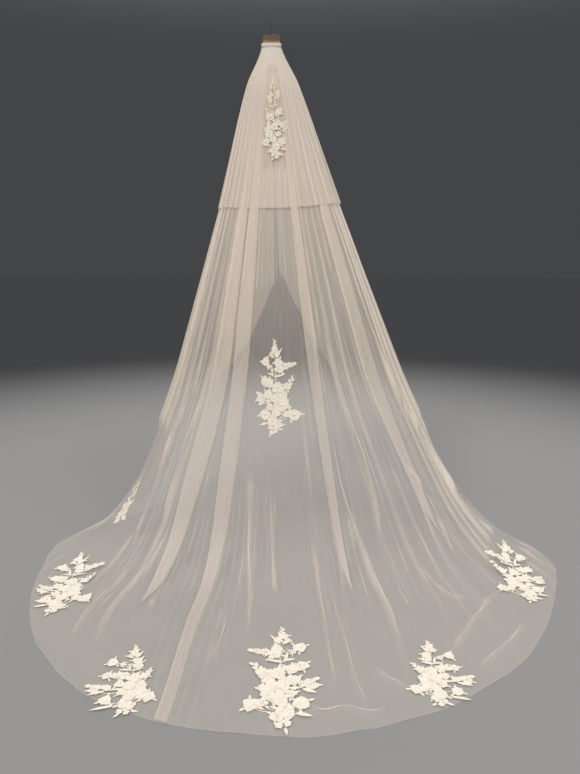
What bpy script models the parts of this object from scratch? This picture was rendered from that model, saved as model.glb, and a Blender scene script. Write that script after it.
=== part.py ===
"""A two-tier bridal veil of tulle with lace appliques, hung by its comb from a wire hook.

Metres, +Z up. The origin is the top of the hook and the front of the veil looks towards -Y.
The long tier is a gathered oval: it hangs from the comb as an oblique cone, stands open down
its back and lies on the floor as a train. A turn is an angle round the veil in degrees, 0 at
the front, positive to the right as seen from the front. A run is a length of cloth measured
down from the gathered edge.
"""

import math
from functools import lru_cache

import bmesh
import bpy
from mathutils import Vector
from mathutils.bvhtree import BVHTree
from mathutils.geometry import delaunay_2d_cdt

# Heights
FLOOR_Z = -2.390
TOOTH_TOP_Z = -0.0515
BAND_TOP_Z = -0.093
BAND_HEIGHT = 0.016
SEAM_GAP = 0.0003
GATHER_Z = BAND_TOP_Z - BAND_HEIGHT - SEAM_GAP

# Tulle
TULLE_WALL = 0.0012
TULLE_COLOUR = (0.86, 0.80, 0.71, 1.0)
GATHER_HALF_WIDTH = 0.043
GATHER_HALF_DEPTH = 0.009
LAST_TURN = 179.7
NORMAL_STEPS = 24
LEAST_OUTWARD = 0.35

# Where the hanging cloth would meet the floor
FOOT_CENTRE = Vector((0.04, -0.445))
FOOT_LEFT = 0.685
FOOT_RIGHT = 0.86
FOOT_HALF_DEPTH = 0.475
BACK_SQUARENESS = 0.35
BEND_FRONT = 0.24
BEND_LEFT = 0.36
BEND_RIGHT = 0.42
BEND_STEPS = 8

# Where the hanging cloth stands out from its straight line
SHOULDER_LEFT = 0.023
SHOULDER_RIGHT = 0.017
SHOULDER_RUN = (0.02, 0.20, 0.85)
FLARE = 0.080
FLARE_TURN = (12.0, 30.0, 75.0, 135.0)
FLARE_FROM = 0.60

# The hem on the floor is an oval; past EDGE_FROM the cloth ends at its side edges
HEM_CENTRE = Vector((0.09, -0.80))
HEM_LEFT = 1.005
HEM_RIGHT = 1.035
HEM_HALF_DEPTH = 0.955
HEM_ROUND_LEFT = 0.92
HEM_ROUND_RIGHT = 1.04
EDGE_FROM = 98.0
EDGE_TO = 112.0
SIDE_EDGES = (
    # turn, run on the left, run on the right
    (112.0, 2.32, 2.50),
    (118.0, 2.06, 2.33),
    (125.0, 1.88, 2.16),
    (134.0, 1.77, 2.00),
    (146.0, 1.67, 1.85),
    (158.0, 1.57, 1.68),
    (168.0, 1.44, 1.46),
    (175.0, 1.28, 1.24),
    (180.0, 1.12, 1.05),
)

# Rows of the long tier, as shares of each run
LONG_ROWS = (
    0.0, 0.03, 0.07, 0.12, 0.19, 0.27, 0.36, 0.46,
    0.56, 0.65, 0.71, 0.77, 0.83, 0.88, 0.94, 1.0,
)

# Pleats of the front. A lap is the width of a pleat that lies folded over, positive where its
# outer fold looks right. The rest is a ridge. What stays is the share that reaches the hem, and
# a lap opens again at a share of its run, or never.
FRONT_PLEATS = (
    # turn, room, rise, lap, stays, opens
    (-84.0, 3.2, 0.015, 0.0, 0.0, 0.0),
    (-76.0, 3.2, 0.013, 0.0, 0.0, 0.0),
    (-68.5, 3.0, 0.016, 0.0, 0.3, 0.0),
    (-61.0, 2.8, 0.012, 0.0, 0.0, 0.0),
    (-54.0, 2.8, 0.015, 0.0, 0.3, 0.0),
    (-47.0, 2.6, 0.012, 0.0, 0.0, 0.0),
    (-39.5, 2.4, 0.014, 0.0, 0.2, 0.0),
    (-30.8, 5.2, 0.015, -0.062, 0.0, 0.77),
    (-19.2, 5.2, 0.015, -0.060, 0.6, 2.0),
    (-11.8, 1.4, 0.010, 0.0, 0.0, 0.0),
    (12.2, 1.4, 0.010, 0.0, 0.0, 0.0),
    (17.0, 3.2, 0.014, 0.034, 0.0, 0.77),
    (22.3, 1.7, 0.014, 0.0, 0.7, 0.0),
    (27.0, 2.2, 0.012, 0.0, 0.0, 0.0),
    (33.0, 2.6, 0.014, 0.0, 0.3, 0.0),
    (39.0, 2.4, 0.010, 0.0, 0.0, 0.0),
    (46.5, 4.6, 0.015, 0.044, 0.0, 0.71),
    (54.0, 2.4, 0.012, 0.0, 0.2, 0.0),
    (59.5, 2.0, 0.018, 0.0, 0.0, 0.0),
    (64.0, 2.0, 0.013, 0.0, 0.0, 0.0),
    (69.5, 2.8, 0.015, 0.0, 0.0, 0.0),
    (76.5, 3.0, 0.013, 0.0, 0.0, 0.0),
    (84.0, 3.2, 0.015, 0.0, 0.0, 0.0),
)
BACK_PLEATS_A_SIDE = 7
BACK_PLEAT_FROM = 93.0
BACK_PLEAT_STEP = 11.5
BACK_PLEAT_ROOM = 3.8
BACK_PLEAT_RISE = 0.013
PLAIN_STEP = 6.5

# A pleat that lies folded over, from one foot to the other
LAP_PROFILE = (
    # across in laps, across in rooms, rise in rises
    (-0.5, -0.16, 0.0),
    (-0.5, 0.0, 0.74),
    (0.5, 0.0, 1.0),
    (0.5, 0.0, 0.74),
    (-0.5, 0.0, 0.45),
    (-0.5, 0.0, 0.0),
    (0.5, 0.16, 0.0),
)
RIDGE_RUN = (0.15, 1.90)
LAP_RISE_RUN = (0.15, 1.05)
LAP_FOLDS = 0.36
LAP_FOLDING = 0.095
LAP_OPENING = 0.061
LAP_TAPER = 0.30
FLOOR_FADE = 0.40
LAP_HEM_RISE = 0.6

# Short tier
BLUSHER_RUN = 0.84
BLUSHER_SIDE_RUN = 0.80
BLUSHER_LAST_TURN = 128.0
BLUSHER_STEP = 6.4
BLUSHER_ROWS = (0.0, 0.06, 0.15, 0.29, 0.47, 0.70, 1.0)
BLUSHER_CLEAR_TOP = 0.0034
BLUSHER_CLEAR_HEM = 0.0145
BLUSHER_RISE = 0.004

# Band, comb and hook
BAND_HALF_WIDTH = 0.0485
BAND_HALF_DEPTH = 0.0150
BAND_SIDES = 32
BAND_SQUARENESS = 0.55
BAND_BEVEL = 0.0022
SPINE_SIZE = Vector((0.083, 0.0055, 0.0080))
SPINE_BEVEL = 0.0018
TOOTH_COUNT = 8
TOOTH_LEG_PITCH = 0.0052
TOOTH_WIRE = 0.0009
TOOTH_BEND_POINTS = 4
HOOK_WIRE = 0.0013
HOOK_REACH = 0.0042
HOOK_TOE = 0.020
HOOK_LEAN = TOOTH_LEG_PITCH
HOOK_BEND_STEPS = 5

# Lace
LACE_WALL = 0.0012
LACE_RELIEF = 0.0009
LACE_STEM = 0.0075
LACE_COLOUR = (0.93, 0.86, 0.74, 1.0)
LEAVES = (
    # along the stem, reach, lift, breadth, all as shares of the spray's length
    (0.050, 0.125, -0.012, 0.046),
    (0.165, 0.205, 0.020, 0.050),
    (0.285, 0.165, 0.055, 0.050),
    (0.405, 0.245, 0.085, 0.052),
    (0.525, 0.145, 0.070, 0.046),
    (0.635, 0.185, 0.075, 0.044),
    (0.745, 0.105, 0.060, 0.036),
    (0.840, 0.070, 0.050, 0.030),
)
FLOOR_SPRAYS = (
    # name, x and y of the foot, direction of the tip, length, left and right reach, gap below
    ("lace_hem_centre", 0.062, -1.735, 0.0, 0.465, 1.00, 1.02, 0.0004),
    ("lace_hem_left", -0.375, -1.680, 9.0, 0.310, 1.75, 0.95, 0.0004),
    ("lace_hem_right", 0.524, -1.645, -6.0, 0.300, 1.05, 1.65, 0.0004),
    ("lace_side_left", -0.775, -1.190, 6.0, 0.440, 1.00, 1.10, 0.0017),
    ("lace_side_right", 1.005, -1.120, -5.0, 0.430, 1.00, 0.90, 0.0020),
)
HUNG_SPRAYS = (
    # name, turn and run of the foot, length, left and right reach, gap below
    ("lace_middle", -0.2, 1.880, 0.430, 0.90, 0.92, 0.0013),
    ("lace_top", 1.0, 0.620, 0.460, 0.55, 0.75, 0.0007),
    ("lace_back_left", -71.0, 2.360, 0.240, 0.80, 0.80, 0.0018),
    ("lace_back_right", 94.0, 2.420, 0.290, 0.62, 0.60, 0.0009),
)
SMOOTHING_SPRAYS = [spray[0] for spray in FLOOR_SPRAYS + HUNG_SPRAYS if spray[0] != "lace_top"]
SMOOTH_REACH = 0.24
SMOOTH_BACK = 0.12
SMOOTH_EDGE = 0.05
SMOOTH_PAST_ENDS = 0.13


def smooth(value, low, high):
    """A soft step from 0 at low to 1 at high."""
    t = min(1.0, max(0.0, (value - low) / (high - low)))
    return t * t * (3.0 - 2.0 * t)


def power(value, exponent):
    """A power that keeps its sign."""
    return math.copysign(abs(value) ** exponent, value)


def read_table(table, key, column):
    """One column of a table, read softly between its rows."""
    for low, high in zip(table, table[1:]):
        if key <= high[0]:
            t = smooth(key, low[0], high[0]) * 0.4 + 0.6 * (key - low[0]) / (high[0] - low[0])
            return low[column] + (high[column] - low[column]) * max(0.0, t)
    return table[-1][column]


# The cloth before it is pleated

def oval(turn, centre, left, right, half_depth, exponent):
    """A point of an oval that may differ in width to each side and be squarer than an ellipse."""
    angle = math.radians(turn)
    half_width = right if turn > 0.0 else left
    across = half_width * power(math.sin(angle), exponent)
    return centre + Vector((across, -half_depth * power(math.cos(angle), exponent)))


def gather_point(turn):
    """A point on the gathered edge."""
    width, depth = GATHER_HALF_WIDTH, GATHER_HALF_DEPTH
    return oval(turn, Vector((0.0, 0.0)), width, width, depth, 1.0).to_3d() + Vector((0.0, 0.0, GATHER_Z))


def foot_point(turn):
    """Where the hanging cloth would meet the floor, squarer behind than in front."""
    exponent = 1.0 - BACK_SQUARENESS * smooth(abs(turn), 90.0, 145.0)
    plan = oval(turn, FOOT_CENTRE, FOOT_LEFT, FOOT_RIGHT, FOOT_HALF_DEPTH, exponent)
    return Vector((plan.x, plan.y, FLOOR_Z))


def hem_point(turn):
    """A point of the train's hem."""
    exponent = HEM_ROUND_RIGHT if turn > 0.0 else HEM_ROUND_LEFT
    plan = oval(turn, HEM_CENTRE, HEM_LEFT, HEM_RIGHT, HEM_HALF_DEPTH, exponent)
    return Vector((plan.x, plan.y, FLOOR_Z))


@lru_cache(maxsize=None)
def spoke(turn):
    """The line of the cloth at one turn: its corners and the runs where it bends and lies flat."""
    start, corner, end = gather_point(turn), foot_point(turn), hem_point(turn)
    side = BEND_RIGHT if turn > 0.0 else BEND_LEFT
    bend = BEND_FRONT + (side - BEND_FRONT) * smooth(abs(turn), 25.0, 90.0)
    bend = min(bend, 0.96 * (end - corner).length)
    above = corner + (start - corner).normalized() * bend
    beyond = corner + (end - corner).normalized() * bend
    bends_at = (corner - start).length - bend
    points = [quadratic(above, corner, beyond, i / BEND_STEPS) for i in range(BEND_STEPS + 1)]
    flat_at = bends_at + sum((b - a).length for a, b in zip(points, points[1:]))
    return start, above, corner, beyond, end, bends_at, flat_at


def quadratic(a, b, c, t):
    return a * (1.0 - t) ** 2 + b * 2.0 * t * (1.0 - t) + c * t * t


def floor_run(turn):
    """The run at which the cloth lies flat."""
    return spoke(turn)[6]


def stand_out(turn, run):
    """How far the cloth stands out sideways from its straight line."""
    start, middle, end = SHOULDER_RUN
    swell = SHOULDER_RIGHT if turn > 0.0 else SHOULDER_LEFT
    swell *= smooth(abs(math.sin(math.radians(turn))), 0.0, 1.0)
    swell *= smooth(run, start, middle) * (1.0 - smooth(run, middle, end))
    first, full, last, none = FLARE_TURN
    flare = FLARE * smooth(abs(turn), first, full) * (1.0 - smooth(abs(turn), last, none))
    lands, hem = floor_run(turn), floor_run(turn) + (spoke(turn)[4] - spoke(turn)[3]).length
    flare *= smooth(run, FLARE_FROM * lands, 0.97 * lands) * (1.0 - smooth(run, lands, hem + 0.1))
    return math.copysign(swell + flare, turn)


def base_point(turn, run):
    """A point of the cloth without its pleats: straight, then bent, then flat on the floor."""
    start, above, corner, beyond, end, bends_at, flat_at = spoke(turn)
    if run <= bends_at:
        point = start.lerp(above, run / bends_at)
    elif run < flat_at:
        point = quadratic(above, corner, beyond, (run - bends_at) / (flat_at - bends_at))
    else:
        point = beyond + (end - beyond).normalized() * (run - flat_at)
        point.z = FLOOR_Z
    return Vector((point.x + stand_out(turn, run), point.y, point.z))


def base_normal(turn, run):
    """The outward direction of the cloth without its pleats."""
    if run >= floor_run(turn):
        return Vector((0.0, 0.0, 1.0))
    step_turn, step_run = 0.2, 0.002
    across = base_point(turn + step_turn, run) - base_point(turn - step_turn, run)
    down = base_point(turn, run + step_run) - base_point(turn, max(0.0, run - step_run))
    return down.cross(across).normalized()


@lru_cache(maxsize=None)
def hem_run(turn):
    """How long the cloth is at one turn, to the oval on the floor or to its side edge."""
    beyond, end, _, flat_at = spoke(turn)[3:]
    run = flat_at + (end - beyond).length
    edge = read_table(SIDE_EDGES, abs(turn), 1 if turn < 0.0 else 2)
    return run + (edge - run) * smooth(abs(turn), EDGE_FROM, EDGE_TO)


def metres_a_degree(turn, run):
    """How wide one degree of turn is at a run."""
    return (base_point(turn + 0.5, run) - base_point(turn - 0.5, run)).length


# Pleats

def all_pleats():
    """The front's pleats and the even ones of the back, by turn."""
    pleats = list(FRONT_PLEATS)
    for i in range(BACK_PLEATS_A_SIDE):
        for side in (-1.0, 1.0):
            turn = side * (BACK_PLEAT_FROM + BACK_PLEAT_STEP * i + 1.4 * math.sin(2.3 * i + side))
            rise = BACK_PLEAT_RISE * (1.0 + 0.25 * math.sin(1.7 * i + side))
            pleats.append((turn, BACK_PLEAT_ROOM, rise, 0.0, 0.0, 0.0))
    return sorted(pleats)


def long_columns():
    """The long tier's columns: each has its own turn, its pleat and its place in the pleat."""
    columns = []
    for pleat in all_pleats():
        turn, room, lap = pleat[0], pleat[1], pleat[3]
        if lap:
            last = len(LAP_PROFILE) - 1
            for i in range(last + 1):
                place = LAP_PROFILE[i] if lap > 0.0 else LAP_PROFILE[last - i]
                columns.append((turn + room * (2.0 * i / last - 1.0), pleat, place))
        else:
            for side in (-1.0, 0.0, 1.0):
                columns.append((turn + room * side, pleat, None))
    ends = [(-LAST_TURN, None, None)] + columns + [(LAST_TURN, None, None)]
    filled = [ends[0]]
    for column in ends[1:]:
        space = column[0] - filled[-1][0]
        count = max(1, round(space / PLAIN_STEP))
        start = filled[-1][0]
        filled += [(start + space * i / count, None, None) for i in range(1, count)]
        filled.append(column)
    return filled


@lru_cache(maxsize=None)
def spray_axis(name):
    """The foot and the tip of a spray, and how far it reaches to the side."""
    for spray, x, y, direction, length, left, right, _ in FLOOR_SPRAYS:
        if spray == name:
            angle = math.radians(direction)
            foot = Vector((x, y, FLOOR_Z))
            tip = foot + Vector((-math.sin(angle), math.cos(angle), 0.0)) * length
            return foot, tip, SMOOTH_REACH * length * max(left, right)
    for spray, turn, run, length, left, right, _ in HUNG_SPRAYS:
        if spray == name:
            reach = SMOOTH_REACH * length * max(left, right)
            if abs(turn) > 60.0:
                reach = SMOOTH_BACK
            return base_point(turn, run), base_point(turn, run - length), reach


def clear_of_lace(point):
    """0 where the stiff lace holds the cloth smooth, 1 away from it."""
    clear = 1.0
    for name in SMOOTHING_SPRAYS:
        foot, tip, reach = spray_axis(name)
        along = (point - foot).dot(tip - foot) / (tip - foot).length_squared
        spare = SMOOTH_PAST_ENDS / (tip - foot).length
        nearest = foot.lerp(tip, min(1.0 + spare, max(-spare, along)))
        clear = min(clear, smooth((point - nearest).length, reach, reach + SMOOTH_EDGE))
    return clear


def pleat_strength(pleat, turn, run, rise_run):
    """How much of a pleat's rise is left: it grows down the cloth and fades on the floor."""
    stays = pleat[4]
    fade = smooth(run, floor_run(turn) - 0.15, floor_run(turn) + FLOOR_FADE)
    edge = 1.0 - 0.65 * smooth(run, hem_run(turn) - 0.25, hem_run(turn))
    strength = smooth(run, *rise_run) * (1.0 - (1.0 - stays) * fade) * max(edge, stays)
    return strength * clear_of_lace(base_point(turn, run))


def ridge_point(column, share):
    """A column of a ridge: its two feet stay on the cloth and its middle is lifted."""
    turn, pleat, _ = column
    run = hem_run(turn) * share
    point = base_point(turn, run)
    if pleat is None or abs(turn - pleat[0]) > 0.01:
        return point
    return point + base_normal(turn, run) * pleat[2] * pleat_strength(pleat, turn, run, RIDGE_RUN)


def fold_share(share, opens, width, room):
    """How far a pleat is folded over. Its middle layer stands on edge halfway through."""
    turned = smooth(share, LAP_FOLDS - LAP_FOLDING, LAP_FOLDS + LAP_FOLDING)
    turned *= 1.0 - smooth(share, opens - LAP_OPENING, opens + LAP_OPENING)
    on_edge = room / (3.0 * width + room)
    if turned < 0.5:
        return on_edge * 2.0 * turned
    return on_edge + (1.0 - on_edge) * (2.0 * turned - 1.0)


def lap_point(column, share):
    """A column of a pleat that lies folded over: it moves across as well as out."""
    turn, pleat, place = column
    middle, room, rise, lap, stays, opens = pleat
    run = hem_run(turn) * share
    degree = metres_a_degree(middle, run)
    landed = floor_run(middle) / hem_run(middle)
    end = 1.0 - (1.0 - max(stays, 0.5)) * smooth(share, min(opens, landed) - LAP_TAPER, min(opens, landed))
    width = min(abs(lap) * end, 1.55 * room * degree)
    across = math.copysign(1.0, lap) * (place[0] * width + place[1] * room * degree)
    turned = turn + (middle + across / degree - turn) * fold_share(share, opens, width, room * degree)
    on_floor = smooth(run, floor_run(middle), floor_run(middle) + FLOOR_FADE)
    kept = (1.0 - on_floor) + on_floor * (LAP_HEM_RISE if stays else 0.0)
    lift = rise * place[2] * smooth(run, *LAP_RISE_RUN) * kept
    run = hem_run(turned) * share
    return base_point(turned, run) + base_normal(turned, run) * lift


def long_point(column, share):
    return lap_point(column, share) if column[2] else ridge_point(column, share)


# Cloth walls

def grid_normals(grid):
    """The outward direction at every point of a grid of rows down and columns across."""
    around = [[[] for _ in row] for row in grid]
    for i in range(len(grid) - 1):
        for j in range(len(grid[0]) - 1):
            for corners in cell_triangles(i, j):
                a, b, c = (grid[row][col] for row, col in corners)
                normal = (b - a).cross(c - a).normalized()
                for row, col in corners:
                    around[row][col].append(normal)
    return [[shared_normal(normals) for normals in row] for row in around]


def shared_normal(normals):
    """A direction that is outward for every face round a point, also on the edge of a fold."""
    shared = sum(normals, Vector((0.0, 0.0, 0.0))).normalized()
    for _ in range(NORMAL_STEPS):
        worst = min(normals, key=shared.dot)
        if shared.dot(worst) > LEAST_OUTWARD:
            break
        shared = (shared + worst * 0.3).normalized()
    return shared


def cell_triangles(i, j):
    """The two triangles of a cell, seen from outside."""
    return (
        ((i, j), (i + 1, j), (i + 1, j + 1)),
        ((i, j), (i + 1, j + 1), (i, j + 1)),
    )


def outer_skin(grid):
    """The grid moved out by the wall. Its gathered edge stays level."""
    normals = grid_normals(grid)
    for normal in normals[0]:
        normal.z = 0.0
        normal.normalize()
    return [
        [point + normal * TULLE_WALL for point, normal in zip(row, row_normals)]
        for row, row_normals in zip(grid, normals)
    ]


def cloth_mesh(name, grid):
    """A closed wall between a grid and the same grid moved out."""
    skin = outer_skin(grid)
    rows, cols = len(grid), len(grid[0])
    bm = bmesh.new()
    inner = [[bm.verts.new(point) for point in row] for row in grid]
    outer = [[bm.verts.new(point) for point in row] for row in skin]
    for i in range(rows - 1):
        for j in range(cols - 1):
            for corners in cell_triangles(i, j):
                bm.faces.new([outer[row][col] for row, col in corners])
                bm.faces.new([inner[row][col] for row, col in reversed(corners)])
    rim = [(0, j) for j in range(cols)] + [(i, cols - 1) for i in range(1, rows)]
    rim += [(rows - 1, j) for j in range(cols - 2, -1, -1)] + [(i, 0) for i in range(rows - 2, 0, -1)]
    for (i, j), (k, m) in zip(rim, rim[1:] + rim[:1]):
        bm.faces.new((outer[i][j], outer[k][m], inner[k][m]))
        bm.faces.new((outer[i][j], inner[k][m], inner[i][j]))
    return finished_mesh(name, bm)


def finished_mesh(name, bm):
    bmesh.ops.recalc_face_normals(bm, faces=bm.faces)
    mesh = bpy.data.meshes.new(name)
    bm.to_mesh(mesh)
    bm.free()
    mesh.shade_smooth()
    mesh.set_sharp_from_angle(angle=math.radians(40.0))
    return mesh


def long_grid():
    columns = long_columns()
    return columns, [[long_point(column, share) for column in columns] for share in LONG_ROWS]


def blusher_point(turn, share, wave):
    """The short tier lies clear of the long one and ripples outward."""
    side = smooth(abs(turn), 0.0, BLUSHER_LAST_TURN)
    length = BLUSHER_RUN + (BLUSHER_SIDE_RUN - BLUSHER_RUN) * side
    run = length * share
    clear = BLUSHER_CLEAR_TOP + (BLUSHER_CLEAR_HEM - BLUSHER_CLEAR_TOP) * smooth(share, -0.1, 0.9)
    lift = clear + BLUSHER_RISE * wave * smooth(share, 0.05, 0.8)
    normal = base_normal(turn, run)
    if share == 0.0:
        normal = Vector((normal.x, normal.y, 0.0)).normalized()
    return base_point(turn, run) + normal * lift


def blusher_grid():
    count = 2 * round(BLUSHER_LAST_TURN / BLUSHER_STEP)
    columns = []
    for i in range(count + 1):
        turn = BLUSHER_LAST_TURN * (2.0 * i / count - 1.0)
        columns.append((turn, (i % 2) * (0.75 + 0.25 * math.sin(2.9 * i))))
    return [[blusher_point(turn, share, wave) for turn, wave in columns] for share in BLUSHER_ROWS]


# Lace

def spray_outline(length, left, right):
    """The outline of a leafy spray, its foot at the origin and its tip along +Y."""
    sides = []
    for side, reach_share in ((1.0, right), (-1.0, left)):
        points = []
        for i, (along, reach, lift, breadth) in enumerate(LEAVES):
            reach *= reach_share * (1.0 + 0.12 * math.sin(2.1 * i + side)) * length
            base = (along + 0.012 * side * math.cos(1.9 * i)) * length
            tip, half = base + lift * length, breadth * length
            points += [
                (LACE_STEM, base - half * 1.15),
                (reach * 0.72, base + (tip - base) * 0.6 - half * 0.85),
                (reach, tip - half * 0.25),
                (reach * 0.94, tip + half * 0.55),
                (reach * 0.55, base + (tip - base) * 0.6 + half * 0.60),
            ]
        sides.append([Vector((side * x, max(0.0, y))) for x, y in points])
    tip = [Vector((LACE_STEM, 0.93 * length)), Vector((0.0, length)), Vector((-LACE_STEM, 0.93 * length))]
    return sides[0] + tip + sides[1][::-1]


def spray_ribs(length, left, right):
    """Points along the stem and the leaves, where the lace is thickest."""
    ribs = [Vector((0.0, (along + 0.01) * length)) for along, _, _, _ in LEAVES]
    for side, reach_share in ((1.0, right), (-1.0, left)):
        for i, (along, reach, lift, _) in enumerate(LEAVES):
            reach *= reach_share * (1.0 + 0.12 * math.sin(2.1 * i + side)) * length
            base = (along + 0.012 * side * math.cos(1.9 * i)) * length
            ribs.append(Vector((side * reach * 0.62, base + lift * length * 0.62)))
    return ribs


def spray_mesh(name, length, left, right, gap, place):
    """A spray of lace laid on the cloth by place, which gives a point and its outward normal."""
    outline, ribs = spray_outline(length, left, right), spray_ribs(length, left, right)
    points = outline + ribs
    face = [list(range(len(outline)))]
    flat, _, triangles, _, _, origins = delaunay_2d_cdt(points, [], face, 0, 1e-6)
    kept = [tri for tri, origin in zip(triangles, origins) if origin]
    used = sorted({index for tri in kept for index in tri})
    bm = bmesh.new()
    inner, outer = {}, {}
    for index in used:
        at = flat[index]
        on_rib = min((at - rib).length for rib in ribs) < 1e-5
        point, normal = place(at)
        inner[index] = bm.verts.new(point + normal * gap)
        height = gap + LACE_WALL + (LACE_RELIEF if on_rib else 0.0)
        outer[index] = bm.verts.new(point + normal * height)
    edges = {}
    for a, b, c in kept:
        bm.faces.new((outer[a], outer[b], outer[c]))
        bm.faces.new((inner[c], inner[b], inner[a]))
        for start, end in ((a, b), (b, c), (c, a)):
            edges[(start, end)] = True
    for start, end in edges:
        if (end, start) not in edges:
            bm.faces.new((outer[end], outer[start], inner[start], inner[end]))
    bmesh.ops.triangulate(bm, faces=bm.faces)
    return finished_mesh(name, bm)


def skin_point(columns, skin, turn, share):
    """A point of the long tier's outer skin, on the very triangle that carries it."""
    turns = [column[0] for column in columns]
    j = max(0, min(len(turns) - 2, sum(1 for t in turns if t <= turn) - 1))
    i = max(0, min(len(LONG_ROWS) - 2, sum(1 for s in LONG_ROWS if s <= share) - 1))
    u = (turn - turns[j]) / (turns[j + 1] - turns[j])
    v = (share - LONG_ROWS[i]) / (LONG_ROWS[i + 1] - LONG_ROWS[i])
    a, b, c, d = skin[i][j], skin[i + 1][j], skin[i + 1][j + 1], skin[i][j + 1]
    if v >= u:
        return a + (b - a) * v + (c - b) * u
    return a + (d - a) * u + (c - d) * v


def skin_placer(columns, skin, turn, run):
    """Lays a spray on the hanging cloth."""
    degree = metres_a_degree(turn, run)

    def place(at):
        here, height = turn + at.x / degree, run - at.y
        point = skin_point(columns, skin, here, height / hem_run(here))
        return point, base_normal(here, height)

    return place


def floor_placer(cloth, x, y, direction):
    """Lays a spray on the train, straight down onto the cloth, or level with it past the hem."""
    angle = math.radians(direction)
    faces = [face.vertices for face in cloth.polygons]
    tree = BVHTree.FromPolygons([vert.co for vert in cloth.vertices], faces)
    up = Vector((0.0, 0.0, 1.0))

    def place(at):
        across = at.x * math.cos(angle) - at.y * math.sin(angle)
        back = at.x * math.sin(angle) + at.y * math.cos(angle)
        point, normal, _, _ = tree.ray_cast(Vector((x + across, y + back, 0.0)), -up)
        if point is None:
            return Vector((x + across, y + back, FLOOR_Z + TULLE_WALL)), up
        return point, normal

    return place


def envelope_placer(turn, run):
    """Lays a spray over the ridges of the gathered cloth, where it is drawn in with them."""
    degree = metres_a_degree(turn, run)

    def place(at):
        here, height = turn + at.x / degree, run - at.y
        clear = TULLE_WALL + 0.0006 + 0.0058 * smooth(height, 0.1, 0.7)
        normal = base_normal(here, height)
        return base_point(here, height) + normal * clear, normal

    return place


# Band, comb and hook

def band_mesh(name):
    """A satin band: a squared oval block with soft edges."""
    bm = bmesh.new()
    bmesh.ops.create_cone(
        bm, cap_ends=True, segments=BAND_SIDES, radius1=1.0, radius2=1.0, depth=BAND_HEIGHT
    )
    for vert in bm.verts:
        vert.co.x = BAND_HALF_WIDTH * power(vert.co.x, BAND_SQUARENESS)
        vert.co.y = BAND_HALF_DEPTH * power(vert.co.y, BAND_SQUARENESS)
    return finished_mesh(name, bm)


def box_mesh(name, size):
    bm = bmesh.new()
    bmesh.ops.create_cube(bm, size=1.0)
    bmesh.ops.scale(bm, vec=size, verts=bm.verts)
    return finished_mesh(name, bm)


def arc(centre, radius, start, end, steps):
    """Points on an arc in a plane, as pairs."""
    angles = [math.radians(start + (end - start) * i / steps) for i in range(steps + 1)]
    return [(centre[0] + radius * math.cos(a), centre[1] + radius * math.sin(a)) for a in angles]


def teeth_points():
    """One wire bent up and down: each tooth is a closed loop at its tip."""
    radius = TOOTH_LEG_PITCH / 2.0
    low = BAND_TOP_Z + SEAM_GAP + SPINE_SIZE.z + SEAM_GAP + TOOTH_WIRE + radius
    high = TOOTH_TOP_Z - TOOTH_WIRE - radius
    left = -TOOTH_LEG_PITCH * (TOOTH_COUNT - 0.5)
    points = []
    for i in range(2 * TOOTH_COUNT - 1):
        middle = left + TOOTH_LEG_PITCH * (i + 0.5)
        at_tip = i % 2 == 0
        turned = (180.0, 0.0) if at_tip else (180.0, 360.0)
        points += arc((middle, high if at_tip else low), radius, *turned, TOOTH_BEND_POINTS)
    first, last = points[0], points[-1]
    points = [(first[0], low - radius)] + points + [(last[0], low - radius)]
    return [Vector((x, 0.0, z)) for x, z in points]


def hook_points():
    """Down from the top, through the loop of a middle tooth, up behind it and left to its toe."""
    x = -TOOTH_LEG_PITCH
    loop_z = TOOTH_TOP_Z - 2.0 * TOOTH_WIRE - SEAM_GAP - HOOK_WIRE
    crook_z = loop_z + HOOK_REACH
    toe_z = TOOTH_TOP_Z + 0.0030
    points = [Vector((x + HOOK_LEAN, 0.0, 0.0)), Vector((x + HOOK_LEAN, 0.0, -0.006))]
    points += [Vector((x + 0.3 * HOOK_LEAN, -0.6 * HOOK_REACH, 0.62 * TOOTH_TOP_Z))]
    points += [Vector((x, y, z)) for y, z in arc((0.0, crook_z), HOOK_REACH, 180.0, 360.0, 2 * HOOK_BEND_STEPS)]
    radius = toe_z - crook_z
    points += [
        Vector((x - radius + px, HOOK_REACH, crook_z + pz))
        for px, pz in arc((0.0, 0.0), radius, 0.0, 90.0, HOOK_BEND_STEPS)[1:]
    ]
    points += [Vector((x - radius - HOOK_TOE, HOOK_REACH, toe_z))]
    return points


# Objects

def material(name, colour, roughness, metallic=0.0):
    made = bpy.data.materials.new(name)
    made.use_nodes = True
    shader = made.node_tree.nodes["Principled BSDF"]
    shader.inputs["Base Color"].default_value = colour
    shader.inputs["Roughness"].default_value = roughness
    shader.inputs["Metallic"].default_value = metallic
    return made


def add_object(collection, name, data, coat, location=(0.0, 0.0, 0.0)):
    made = bpy.data.objects.new(name, data)
    made.location = location
    data.materials.append(coat)
    collection.objects.link(made)
    return made


def add_wire(collection, name, points, wire_radius, coat):
    """A wire along a chain of straight steps, with closed ends."""
    curve = bpy.data.curves.new(name, "CURVE")
    curve.dimensions = "3D"
    curve.bevel_depth = wire_radius
    curve.bevel_resolution = 2
    curve.use_fill_caps = True
    spline = curve.splines.new("POLY")
    spline.points.add(len(points) - 1)
    for target, point in zip(spline.points, points):
        target.co = (*point, 1.0)
    return add_object(collection, name, curve, coat)


def add_bevel(target, width):
    bevel = target.modifiers.new("soft edge", "BEVEL")
    bevel.width = width
    bevel.segments = 2
    bevel.limit_method = "ANGLE"


def build_cloth(collection):
    tulle = material("tulle", TULLE_COLOUR, 0.8)
    columns, grid = long_grid()
    cloth = cloth_mesh("main_veil", grid)
    add_object(collection, "main_veil", cloth, tulle)
    add_object(collection, "blusher", cloth_mesh("blusher", blusher_grid()), tulle)
    return cloth, columns, outer_skin(grid)


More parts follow.
